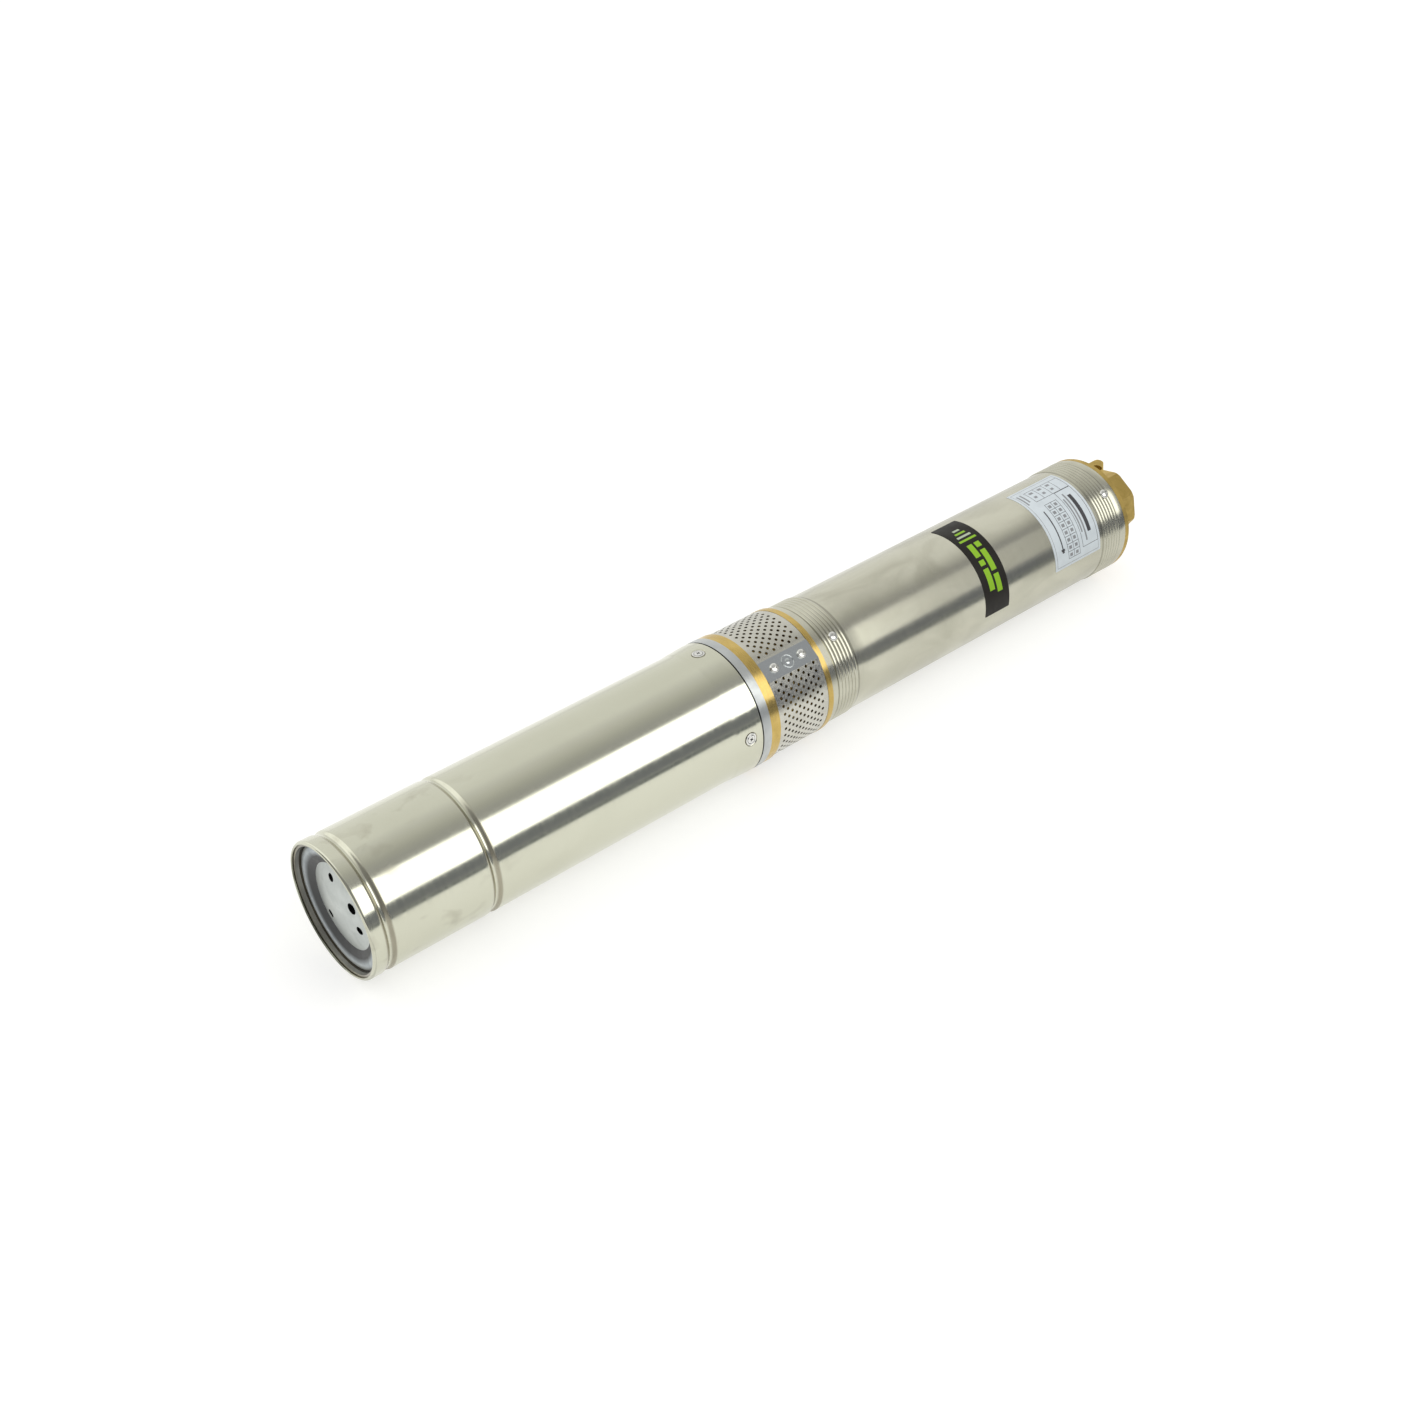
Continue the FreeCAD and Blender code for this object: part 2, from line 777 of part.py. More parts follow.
def bearing_inner_ring(start, bore, diameter, width, ball):
    pitch = bearing_pitch_radius(bore, diameter)
    body = ring(start, start + width, bore / 2, pitch - ball / 4)
    race = Part.makeTorus(pitch, ball / 2 + race_gap, Vector(start + width / 2, 0, 0), Vector(1, 0, 0))
    return body.cut(race).Solids[0]


def bearing_outer_ring(start, bore, diameter, width, ball):
    pitch = bearing_pitch_radius(bore, diameter)
    body = ring(start, start + width, pitch + ball / 4, diameter / 2)
    race = Part.makeTorus(pitch, ball / 2 + race_gap, Vector(start + width / 2, 0, 0), Vector(1, 0, 0))
    return body.cut(race).Solids[0]


def ball_cage(start, bore, diameter, width, ball):
    """Cage ring with its balls as separate solids."""
    pitch = bearing_pitch_radius(bore, diameter)
    middle = start + width / 2
    half = ball * cage_width_ratio / 2
    cage = ring(middle - half, middle + half, pitch - cage_thickness / 2, pitch + cage_thickness / 2)
    pocket = Part.makeSphere(ball / 2 + pocket_gap, polar(middle, pitch, 0.0))
    solid_ball = Part.makeSphere(ball / 2, polar(middle, pitch, 0.0))
    cage = cage.cut(around(pocket, ball_count)).Solids[0]
    return Part.makeCompound([cage] + around(solid_ball, ball_count))


def lower_bearing():
    """Arguments that place the lower bearing."""
    bore = lower_bearing_bore_diameter
    return lower_bearing_x, bore, lower_bearing_diameter, lower_bearing_width, lower_ball_diameter


def upper_bearing():
    """Arguments that place the upper bearing."""
    bore = upper_bearing_bore_diameter
    return upper_bearing_x, bore, upper_bearing_diameter, upper_bearing_width, upper_ball_diameter


def stator_core():
    core = ring(core_x, core_end, stator_bore_diameter / 2, bracket_radius)
    start = core_x - cut_margin
    end = core_end + cut_margin
    bore = stator_bore_diameter / 2
    slot = spoke(start, end, slot_top_radius, slot_bottom_radius, slot_width)
    opening = spoke(start, end, bore - cut_margin, slot_top_radius + cut_margin, slot_opening_width)
    return core.cut(around(slot.fuse(opening), slot_count)).Solids[0]


def end_turn(start, end):
    """Ring of bundled wire beyond one end of the core, with rounded outer edges."""
    inner = end_turn_inner_diameter / 2
    outer = bracket_radius - end_turn_gap
    edge = end_turn_edge_radius
    inset = edge * (1 - math.sqrt(0.5))
    return turned([
        (start, inner),
        (start, outer - edge),
        (start + edge, outer, start + inset, outer - inset),
        (end - edge, outer),
        (end, outer - edge, end - inset, outer - inset),
        (end, inner),
    ])


def stator_windings():
    inner = slot_top_radius + slot_liner_thickness
    outer = slot_bottom_radius - slot_liner_thickness
    bar = spoke(core_x, core_end, inner, outer, slot_width - 2 * slot_liner_thickness)
    rings = [end_turn(winding_x, core_x), end_turn(core_end, winding_end)]
    return joined(rings + around(bar, slot_count))


def rotor_bar(start, end, radius):
    return axial_hole(start, end, radius, rotor_bar_circle_diameter / 2, 0.0)


def rotor_core():
    core = ring(core_x, core_end, core_shaft_diameter / 2 + fit_gap, stator_bore_diameter / 2 - air_gap)
    bar_hole = rotor_bar(core_x - cut_margin, core_end + cut_margin, rotor_bar_diameter / 2 + fit_gap)
    return core.cut(around(bar_hole, rotor_bar_count)).Solids[0]


def rotor_cage():
    outer = stator_bore_diameter / 2 - air_gap - end_ring_edge_width
    lower = ring(core_x - end_ring_length, core_x, end_ring_bore_diameter / 2, outer)
    upper = ring(core_end, core_end + end_ring_length, end_ring_bore_diameter / 2, outer)
    bar = rotor_bar(core_x, core_end, rotor_bar_diameter / 2)
    return joined([lower, upper] + around(bar, rotor_bar_count))


def shell_screw_seats(gap):
    """Bars that cut the four countersunk screw holes in the shell and the upper bracket."""
    surface = shell_radius_at(shell_screw_x)
    head = shell_screw_head_diameter / 2 + gap
    thread = shell_screw_thread_diameter / 2 + gap
    foot = surface - shell_screw_head_height
    slope = (head - thread) / shell_screw_head_height
    flank = shell_screw_head_height + cut_margin
    tool = turned_outward([
        (surface - shell_screw_length - gap, thread),
        (foot, thread),
        (foot + flank, thread + flank * slope),
    ])
    return spread_screws(tool)


def turned_outward(outline):
    """Solid turned about the line at angle 0 through the shell screws, from (distance, radius) corners."""
    corners = [Vector(shell_screw_x, outline[0][0], 0)]
    corners += [Vector(shell_screw_x + radius, distance, 0) for distance, radius in outline]
    corners.append(Vector(shell_screw_x, outline[-1][0], 0))
    face = Part.Face(Part.makePolygon(corners + corners[:1]))
    return face.revolve(Vector(shell_screw_x, 0, 0), Vector(0, 1, 0), 360)


def spread_screws(shape):
    """Copies of a shape at the places of the shell screws."""
    shape.rotate(Vector(0, 0, 0), Vector(1, 0, 0), shell_screw_first_angle)
    return around(shape, shell_screw_count)


def cross_recess(x, angle, top, size, depth):
    """Two crossed bars that cut the recess in a screw head."""
    width = size / 4
    bars = []
    for long_x, long_y in ((size, width), (width, size)):
        corner = Vector(x - long_x / 2, top - depth, -long_y / 2)
        bars.append(Part.makeBox(long_x, depth + cut_margin, long_y, corner))
    recess = bars[0].fuse(bars[1])
    recess.rotate(Vector(0, 0, 0), Vector(1, 0, 0), angle)
    return recess


def shell_screws():
    surface = shell_radius_at(shell_screw_x)
    top = surface - fit_gap
    head = shell_screw_head_diameter / 2
    thread = shell_screw_thread_diameter / 2
    foot = surface - shell_screw_head_height
    screw = turned_outward([(surface - shell_screw_length, thread), (foot, thread), (top, head)])
    recess = cross_recess(shell_screw_x, 0.0, top, head, shell_screw_head_height / 2)
    screw = screw.cut(recess).Solids[0]
    return Part.makeCompound(spread_screws(screw))


def upper_bearing_bracket():
    pocket = upper_bearing_diameter / 2 + fit_gap
    web_hole = web_hole_diameter / 2
    lip_pocket = lip_seal_diameter / 2 + fit_gap
    chamber = oil_chamber_diameter / 2
    counterbore = inlet_spigot_diameter / 2 + fit_gap
    step_end = flare_x + flare_step_length
    end_radius = flare_radius - shell_wall - fit_gap
    outline = [(upper_bracket_x, pocket)]
    outline += seal_groove(bracket_seal_x(), shell_seal_bottom(), bracket_radius)
    outline.insert(1, (upper_bracket_x, bracket_radius))
    outline += [(flare_x, bracket_radius), (step_end, bracket_radius + flare_step_height)]
    outline += [(flare_end, end_radius), (shell_end, end_radius)]
    outline += [(shell_end, flare_radius - seam_depth), (upper_ring_x, flare_radius - seam_depth)]
    outline += [(upper_ring_x, flare_radius), (upper_bracket_end, flare_radius)]
    outline += [(upper_bracket_end, counterbore), (oil_chamber_end, counterbore)]
    outline += [(oil_chamber_end, chamber)]
    outline += [(lip_seal_end, chamber), (lip_seal_end, lip_pocket), (lip_seal_x, lip_pocket)]
    outline += [(lip_seal_x, web_hole), (upper_bearing_end, web_hole), (upper_bearing_end, pocket)]
    cuts = shell_screw_seats(fit_gap) + [lead_hole(upper_bracket_x, upper_bracket_end)]
    return turned(outline).cut(cuts).Solids[0]


def shaft_lip_seal():
    outer = lip_seal_diameter / 2
    shaft = upper_bearing_bore_diameter / 2 - fit_gap
    lip = shaft + running_gap
    middle = (lip_seal_x + lip_seal_end) / 2
    throat = outer - lip_seal_lip_thickness
    neck = lip + lip_seal_lip_thickness
    outline = [(lip_seal_x, neck), (lip_seal_x, outer), (lip_seal_end, outer), (lip_seal_end, throat)]
    outline += [(lip_seal_x + lip_seal_lip_thickness, throat), (lip_seal_x + lip_seal_lip_thickness, neck)]
    outline += [(middle + lip_seal_lip_thickness, neck), (middle, lip)]
    return turned(outline)


def motor_shaft():
    lower_journal = lower_bearing_bore_diameter / 2 - fit_gap
    upper_journal = upper_bearing_bore_diameter / 2 - fit_gap
    seal_journal = seal_shaft_diameter / 2
    start = lower_bearing_x - wave_spring_height / 2
    edge = shaft_edge_width
    return turned([
        (start, 0),
        (start, lower_journal - edge),
        (start + edge, lower_journal),
        (lower_hub_top, lower_journal),
        (lower_hub_top, core_shaft_diameter / 2),
        (upper_bearing_x, core_shaft_diameter / 2),
        (upper_bearing_x, upper_journal),
        (seal_shoulder_x, upper_journal),
        (seal_shoulder_x, seal_journal),
        (shaft_joint_x - edge, seal_journal),
        (shaft_joint_x, seal_journal - edge),
        (shaft_joint_x, 0),
    ])


def seal_head():
    """Turning half of the shaft seal."""
    end = seal_head_x + seal_head_length
    return ring(seal_head_x, end, seal_shaft_diameter / 2 + fit_gap, seal_head_diameter / 2)


def seal_seat():
    """Fixed half of the shaft seal."""
    end = seal_seat_x + seal_seat_width
    return ring(seal_seat_x, end, seal_seat_bore_diameter / 2, seal_seat_diameter / 2)


def seal_spring():
    mean = seal_shaft_diameter / 2 + seal_spring_gap + seal_spring_wire_diameter / 2
    return coil(seal_shoulder_x, seal_head_x, mean, seal_spring_wire_diameter, seal_spring_turns)


def pan_screw(x, angle, surface):
    """Pan head screw that points at the axis, its head resting at the given radius."""
    head = pan_screw_head_diameter / 2
    top = surface + pan_screw_head_height
    crown_radius = (head ** 2 + pan_screw_head_height ** 2) / (2 * pan_screw_head_height)
    crown = Part.makeSphere(crown_radius, Vector(x, top - crown_radius, 0))
    body = radial_bar(x, 0.0, surface, top + cut_margin, head - fit_gap).common(crown)
    shank = radial_bar(x, 0.0, surface - pan_screw_length, surface, pan_screw_thread_diameter / 2)
    recess = cross_recess(x, 0.0, top, head, pan_screw_recess_depth)
    screw = joined([body, shank]).cut(recess)
    screw.rotate(Vector(0, 0, 0), Vector(1, 0, 0), angle)
    return screw.Solids[0]


def pan_screw_hole(x, angle, surface):
    """Bars that cut the hole and the seat of a pan head screw."""
    foot = surface - pan_screw_length - cut_margin
    top = surface + cut_margin
    hole = radial_bar(x, angle, foot, top, pan_screw_thread_diameter / 2 + fit_gap)
    seat = radial_bar(x, angle, surface, top, pan_screw_head_diameter / 2 + fit_gap)
    return hole.fuse(seat)


def strainer_screw_places():
    middle = (inlet_flange_end + strainer_end) / 2
    return [middle - strainer_screw_spacing_length / 2, middle + strainer_screw_spacing_length / 2]


def lock_screw_places():
    """Places along x of the screws that lock the tube on its two threads."""
    return [lower_thread_x + lower_lock_screw_length, upper_thread_x + upper_lock_screw_length]


def lock_screw_hole(index):
    return pan_screw_hole(lock_screw_places()[index], lock_screw_angle, thread_radius)


def strainer_seat_radius():
    return strainer_radius + strainer_overlap_height / 2


def inlet_body():
    flange = inlet_flange_radius
    pocket = seal_seat_diameter / 2 + fit_gap
    shaft_hole = seal_shaft_diameter / 2 + seal_seat_shaft_gap
    seat_end = seal_seat_x + seal_seat_width
    lower = turned([
        (oil_chamber_end, pocket),
        (oil_chamber_end, inlet_spigot_diameter / 2),
        (upper_bracket_end, inlet_spigot_diameter / 2),
        (upper_bracket_end, flange),
        (inlet_flange_end, flange),
        (inlet_flange_end, shaft_hole),
        (seat_end, shaft_hole),
        (seat_end, pocket),
    ])
    groove_end = stages_x - tube_seal_land_width
    groove_start = groove_end - tube_seal_groove_width
    groove_bottom = spigot_radius - tube_seal_section_diameter
    funnel = lead_radius - lead_hole_radius - inlet_funnel_wall
    upper = turned([
        (strainer_end, funnel),
        (strainer_end, top_ring_radius),
        (tube_x - fit_gap, top_ring_radius),
        (tube_x - fit_gap, spigot_radius),
        (groove_start, spigot_radius),
        (groove_start, groove_bottom),
        (groove_end, groove_bottom),
        (groove_end, spigot_radius),
        (stages_x, spigot_radius),
        (stages_x, lip_radius - fit_gap),
        (stages_x + bowl_lip_width, lip_radius - fit_gap),
        (stages_x + bowl_lip_width, bowl_inner),
        (stages_x, bowl_inner),
        (stages_x, eye_radius),
        (stages_x - 2 * bowl_plate_thickness - eye_plate_setback_length, eye_radius),
    ])
    pillar_outer = strainer_radius - strainer_wall - 2 * fit_gap
    pillar = sector(
        inlet_flange_end,
        strainer_end,
        pillar_outer - pillar_depth,
        pillar_outer,
        pillar_first_angle - pillar_angle / 2,
        pillar_angle,
    )
    body = joined([lower, upper] + around(pillar, pillar_count))
    cuts = [lead_hole(oil_chamber_end, stages_x + bowl_lip_width), lock_screw_hole(0)]
    for x in strainer_screw_places():
        cuts.append(pan_screw_hole(x, pillar_first_angle, strainer_seat_radius()))
    return body.cut(cuts).Solids[0]


def strainer_facets():
    """Number of hole rows that would go round the whole strainer."""
    return round(2 * math.pi * strainer_radius / strainer_row_pitch)


def strainer_tube(radius, start, end):
    """Bar with one flat for each row of holes, measured across its flats."""
    facets = strainer_facets()
    first_corner = strainer_first_row_angle + 180.0 / facets
    return prism(start, end, 2 * radius, facets, first_corner)


def strainer_overlap(start, end):
    """Free end of the rolled sheet, which lies over its start and fades into it."""
    inner = strainer_radius - strainer_wall / 2
    high = strainer_radius + strainer_overlap_height
    low = strainer_radius + strainer_overlap_end_height
    first = strainer_overlap_start_angle
    last = strainer_overlap_end_angle
    middle = (first + last) / 2
    edges = [
        Part.Arc(
            polar(start, high, first), polar(start, (high + low) / 2, middle), polar(start, low, last)
        ).toShape(),
        Part.LineSegment(polar(start, low, last), polar(start, inner, last)).toShape(),
        Part.Arc(
            polar(start, inner, last), polar(start, inner, middle), polar(start, inner, first)
        ).toShape(),
        Part.LineSegment(polar(start, inner, first), polar(start, high, first)).toShape(),
    ]
    return Part.Face(Part.Wire(edges)).extrude(Vector(end - start, 0, 0))


def strainer_holes():
    """Staggered rows of holes; every second row has one hole less."""
    facets = strainer_facets()
    middle = (inlet_flange_end + strainer_end) / 2
    inner = strainer_radius - strainer_wall - cut_margin
    outer = strainer_radius + cut_margin
    holes = []
    for row in range(facets - strainer_blank_rows):
        count = strainer_hole_count - row % 2
        angle = strainer_first_row_angle + row * 360.0 / facets
        first = middle - (count - 1) * strainer_hole_pitch / 2
        for index in range(count):
            x = first + index * strainer_hole_pitch
            holes.append(radial_bar(x, angle, inner, outer, strainer_hole_diameter / 2))
    return holes


def inlet_strainer():
    start = inlet_flange_end + strainer_end_gap
    end = strainer_end - strainer_end_gap
    outer = strainer_radius
    sheet = strainer_tube(outer, start, end).cut(strainer_tube(outer - strainer_wall, start, end))
    middle = (start + end) / 2
    surface = strainer_seat_radius()
    stamp = radial_bar(
        middle, pillar_first_angle, outer - strainer_wall / 2, surface + stamp_height, stamp_diameter / 2
    )
    inside = radial_bar(
        middle, pillar_first_angle, surface, surface + cut_margin, stamp_diameter / 2 - stamp_line_width
    )
    sheet = sheet.cut(strainer_holes()).Solids[0]
    sheet = joined([sheet, strainer_overlap(start, end), stamp.cut(inside)])
    holes = [pan_screw_hole(x, pillar_first_angle, surface) for x in strainer_screw_places()]
    return sheet.cut(holes).Solids[0]


def strainer_screws():
    screws = [pan_screw(x, pillar_first_angle, strainer_seat_radius()) for x in strainer_screw_places()]
    return Part.makeCompound(screws)


def thread_ridges(start):
    """Corners of the rounded ridges of a rolled thread zone, going up in x."""
    corners = [(start, tube_radius)]
    for index in range(thread_count):
        left = start + index * thread_pitch
        corners.append((
            left + thread_pitch, tube_radius, left + thread_pitch / 2, thread_radius
        ))
    return corners


def pump_tube():
    lower_band = tube_radius + tube_lower_band_height
    lower_band_edge = lower_band - tube_lower_band_edge_height
    upper_band = tube_radius + tube_upper_band_height
    run_out = thread_pitch / 2
    outline = [(tube_x, tube_inner), (tube_x, lower_band), (lower_thread_x - run_out, lower_band_edge)]
    outline += thread_ridges(lower_thread_x)
    outline += thread_ridges(upper_thread_x)
    outline += [(upper_thread_x + thread_length + run_out, upper_band), (flange_x, upper_band)]
    outline.append((flange_x, tube_inner))
    return turned(outline).cut([lock_screw_hole(0), lock_screw_hole(1)]).Solids[0]


def tube_lock_screws():
    return Part.makeCompound([pan_screw(x, lock_screw_angle, thread_radius) for x in lock_screw_places()])


def tube_seal_rings():
    outer = spigot_radius
    half = tube_seal_groove_width / 2
    lower = seal_ring(stages_x - tube_seal_land_width - half, outer, tube_seal_section_diameter)
    upper = seal_ring(head_x + tube_seal_land_width + half, outer, tube_seal_section_diameter)
    return Part.makeCompound([lower, upper])


def vane(start, end, inner, outer, sweep):
    """Curved blade between two radii, swept round the axis by an angle."""
    stations = [
        polar(start, inner, 0.0),
        polar(start, (inner + outer) / 2, sweep * vane_middle_share),
        polar(start, outer, sweep),
    ]
    along = [stations[1] - stations[0], stations[2] - stations[0], stations[2] - stations[1]]
    sides = []
    for sign in (-1, 1):
        points = []
        for station, direction in zip(stations, along):
            normal = Vector(0, -direction.z, direction.y).normalize()
            points.append(station + normal * (sign * vane_thickness / 2))
        sides.append(points)
    left, right = sides
    edges = [
        Part.Arc(left[0], left[1], left[2]).toShape(),
        Part.LineSegment(left[2], right[2]).toShape(),
        Part.Arc(right[2], right[1], right[0]).toShape(),
        Part.LineSegment(right[0], left[0]).toShape(),
    ]
    return Part.Face(Part.Wire(edges)).extrude(Vector(end - start, 0, 0))


def stage_bowl(start):
    """Casing and diffuser of one stage, with the eye of the next one."""
    end = start + stage_pitch
    plate_top = end - eye_plate_setback_length
    plate_bottom = plate_top - bowl_plate_thickness
    recess = lip_radius
    recess_depth = bowl_lip_width + fit_gap
    casing = turned([
        (start, recess),
        (start, bowl_radius),
        (end, bowl_radius),
        (end, lip_radius - fit_gap),
        (end + bowl_lip_width, lip_radius - fit_gap),
        (end + bowl_lip_width, bowl_inner),
        (plate_top, bowl_inner),
        (plate_top, eye_radius),
        (plate_bottom, eye_radius),
        (plate_bottom, bowl_inner),
        (start + recess_depth, bowl_inner),
        (start + recess_depth, recess),
    ])
    diffuser_top = start + diffuser_start_depth + bowl_plate_thickness
    rim = bowl_inner - diffuser_rim_gap
    diffuser = ring(start + diffuser_start_depth, diffuser_top, hub_radius + neck_gap, rim)
    blade = vane(
        diffuser_top,
        plate_bottom,
        eye_radius + bowl_vane_inset_width,
        rim - bowl_vane_inset_width,
        bowl_vane_sweep,
    )
    return joined([casing, diffuser] + around(blade, bowl_vane_count))


def impeller(start):
    """Closed impeller with its hub long enough to meet the next one."""
    neck_outer = eye_radius - neck_gap
    neck_inner = neck_outer - impeller_neck_wall
    front = start + impeller_start_depth
    front_end = front + shroud_thickness
    back = front_end + impeller_vane_width
    back_end = back + shroud_thickness
    rim = bowl_inner - impeller_tip_gap
    bore = pump_shaft_diameter / 2 + fit_gap
    hub_start = start + impeller_hub_start_depth
    hub_end = hub_start + stage_pitch
    front_shroud = turned([
        (front - impeller_neck_length, neck_inner),
        (front - impeller_neck_length, neck_outer),
        (front, neck_outer),
        (front, rim),
        (front_end, rim),
        (front_end, neck_inner),
    ])
    back_shroud = turned([
        (hub_start, bore),
        (hub_start, hub_radius),
        (back, hub_radius),
        (back, rim),
        (back_end, rim),
        (back_end, hub_radius),
        (hub_end, hub_radius),
        (hub_end, bore),
    ])
    root = neck_inner + 2 * impeller_vane_inset_width
    blade = vane(front_end, back, root, rim - impeller_vane_inset_width, impeller_vane_sweep)
    return joined([front_shroud, back_shroud] + around(blade, impeller_vane_count))


def shaft_coupling():
    bore = seal_shaft_diameter / 2 + fit_gap
    return ring(coupling_x, coupling_x + coupling_length, bore, coupling_diameter / 2)


def hub_stack_end():
    return carrier_x + impeller_hub_start_depth


def pump_shaft():
    lower = seal_shaft_diameter / 2
    body = pump_shaft_diameter / 2
    journal = journal_diameter / 2
    edge = shaft_edge_width
    shoulder = stages_x + impeller_hub_start_depth
    nut_end = hub_stack_end() + shaft_nut_height
    end = head_x - carrier_hub_setback_length
    return turned([
        (shaft_joint_x + shaft_end_gap, 0),
        (shaft_joint_x + shaft_end_gap, lower - edge),
        (shaft_joint_x + shaft_end_gap + edge, lower),
        (shoulder, lower),
        (shoulder, body),
        (nut_end, body),
        (nut_end, journal),
        (end - edge, journal),
        (end, journal - edge),
        (end, 0),
    ])


def pump_shaft_nut():
    start = hub_stack_end()
    end = start + shaft_nut_height
    nut = prism(start, end, shaft_nut_flats_width, shaft_nut_sides, 0.0)
    bore = disc(start - cut_margin, end + cut_margin, pump_shaft_diameter / 2 + fit_gap)
    return nut.cut(bore).Solids[0]


def carrier_hub_x():
    return head_x - carrier_hub_setback_length - carrier_hub_length


def top_bearing_carrier():
    hub_inner = journal_diameter / 2 + running_gap + bush_wall + fit_gap
    hub_outer = hub_inner + carrier_hub_wall
    hub_x = carrier_hub_x()
    hub_end = hub_x + carrier_hub_length
    flange_start = head_x - carrier_flange_width
    recess_depth = bowl_lip_width + fit_gap
    wall = turned([
        (carrier_x, lip_radius),
        (carrier_x, bowl_radius),
        (flange_start, bowl_radius),
        (flange_start, spigot_radius),
        (head_x, spigot_radius),
        (head_x, bowl_inner),
        (carrier_x + recess_depth, bowl_inner),
        (carrier_x + recess_depth, lip_radius),
    ])
    hub = ring(hub_x, hub_end, hub_inner, hub_outer)
    rib = spoke(hub_x, hub_end, hub_outer - join_margin, bowl_inner + join_margin, carrier_rib_thickness)
    carrier = joined([wall, hub] + around(rib, carrier_rib_count))
    return carrier.cut(lead_hole(flange_start, head_x)).Solids[0]


def top_bearing_bush():
    inner = journal_diameter / 2 + running_gap
    start = carrier_hub_x()
    return ring(start, start + carrier_hub_length, inner, inner + bush_wall)


def rope_lug():
    """Three sided ear with a rounded tip, standing on the flange beside the boss."""
    slope = math.radians(lug_slope_angle)
    foot = flange_end - lug_root_depth
    low_side = lug_side_width - lug_base_width
    apex = flange_end + lug_base_width / math.tan(slope)
    half = slope / 2
    back = lug_tip_radius / math.tan(half)
    centre_x = apex - back
    centre_side = lug_side_width - lug_tip_radius
    away = lug_tip_radius / math.sin(half) - lug_tip_radius
    tip = (apex - away * math.cos(half), lug_side_width - away * math.sin(half))
    slant = (
        apex - back * math.cos(slope),
        lug_side_width - back * math.sin(slope),
    )
    inner = lug_radius - lug_thickness / 2
    across = outward(lug_angle - 90)

    def place(x, side):
        return polar(x, inner, lug_angle) + across * side

    edges = [
        Part.LineSegment(place(foot, lug_side_width), place(centre_x, lug_side_width)).toShape(),
        Part.Arc(place(centre_x, lug_side_width), place(*tip), place(*slant)).toShape(),
        Part.LineSegment(place(*slant), place(flange_end, low_side)).toShape(),
        Part.LineSegment(place(flange_end, low_side), place(foot, low_side)).toShape(),
        Part.LineSegment(place(foot, low_side), place(foot, lug_side_width)).toShape(),
    ]
    ear = Part.Face(Part.Wire(edges)).extrude(outward(lug_angle) * lug_thickness)
    hole_start = place(flange_end + lug_hole_height, lug_hole_side_width) - outward(lug_angle) * cut_margin
    hole_length = lug_thickness + 2 * cut_margin
    hole = Part.makeCylinder(lug_hole_diameter / 2, hole_length, hole_start, outward(lug_angle))
    return ear.cut(hole).Solids[0]


def delivery_head():
    throat = valve_seat_bore_diameter / 2
    chamber = valve_chamber_diameter / 2
    relief = thread_relief_diameter / 2
    thread = outlet_thread_diameter / 2
    mouth = thread + outlet_mouth_edge_width
    boss_flat = boss_flats_width / 2
    corner = boss_flat / math.cos(math.pi / boss_sides)
    groove_start = head_x + tube_seal_land_width
    groove_end = groove_start + tube_seal_groove_width
    groove_bottom = spigot_radius - tube_seal_section_diameter
    arc_share = 1 - math.sqrt(0.5)
    fillet_end = flange_end + boss_fillet_height
    fillet_middle = (flange_end + boss_fillet_height * arc_share, boss_flat + boss_fillet_width * arc_share)
    casting = turned([
        (head_x, 0),
        (head_x, spigot_radius),
        (groove_start, spigot_radius),
        (groove_start, groove_bottom),
        (groove_end, groove_bottom),
        (groove_end, spigot_radius),
        (flange_x + fit_gap, spigot_radius),
        (flange_x + fit_gap, head_flange_radius),
        (flange_end - head_flange_edge_width, head_flange_radius),
        (flange_end, head_flange_radius - head_flange_edge_width),
        (flange_end, boss_flat + boss_fillet_width),
        (fillet_end, boss_flat, *fillet_middle),
        (fillet_end, 0),
    ])
    boss = prism(flange_end, outlet_x, boss_flats_width, boss_sides, boss_first_corner_angle)
    boss = boss.common(turned([
        (flange_end, 0),
        (flange_end, corner + cut_margin),
        (outlet_x - boss_edge_width, corner),
        (outlet_x, corner - boss_edge_width),
        (outlet_x, 0),
    ]))
    body = joined([casting, boss, rope_lug()])
    waterway = turned([
        (head_x - cut_margin, 0),
        (head_x - cut_margin, bowl_inner),
        (head_x, bowl_inner),
        (head_x + head_funnel_depth, throat),
        (valve_seat_x, throat),
        (valve_seat_x, chamber),
        (outlet_thread_x - thread_relief_length, chamber),
        (outlet_thread_x - thread_relief_length, relief),
        (outlet_thread_x, relief),
        (outlet_thread_x, thread),
        (outlet_x - outlet_mouth_edge_width, thread),
        (outlet_x, mouth),
        (outlet_x + cut_margin, mouth),
        (outlet_x + cut_margin, 0),
    ])
    gland_bore = axial_hole(
        flange_end - gland_bore_depth,
        flange_end + cut_margin,
        gland_bush_radius + fit_gap,
        lead_radius,
        lead_angle,
    )
    nut_corner = gland_nut_flats_width / 2 / math.cos(math.pi / gland_nut_sides)
    gland_seat = axial_hole(
        flange_end, flange_end + gland_nut_height, nut_corner + fit_gap, lead_radius, lead_angle
    )
    lead_way = lead_hole(head_x, flange_end)
    return body.cut([waterway, gland_bore, gland_seat, lead_way, lock_screw_hole(1)]).Solids[0]


def valve_guide():
    """Ring with ribs and a hub that guides the valve's stem."""
    outer = valve_chamber_diameter / 2 - fit_gap
    bore = stem_diameter / 2 + guide_gap
    hub_outer = bore + guide_hub_wall
    start = guide_rib_x
    end = start + guide_ring_height
    rim = ring(start - guide_rib_height, end - guide_rib_height, outer - guide_ring_wall, outer)
    hub = ring(start, end, bore, hub_outer)
    rib_end = start + guide_rib_height
    rib = spoke(start, rib_end, hub_outer - join_margin, outer - join_margin, guide_rib_thickness)
    return joined([rim, hub] + around(rib, guide_rib_count))


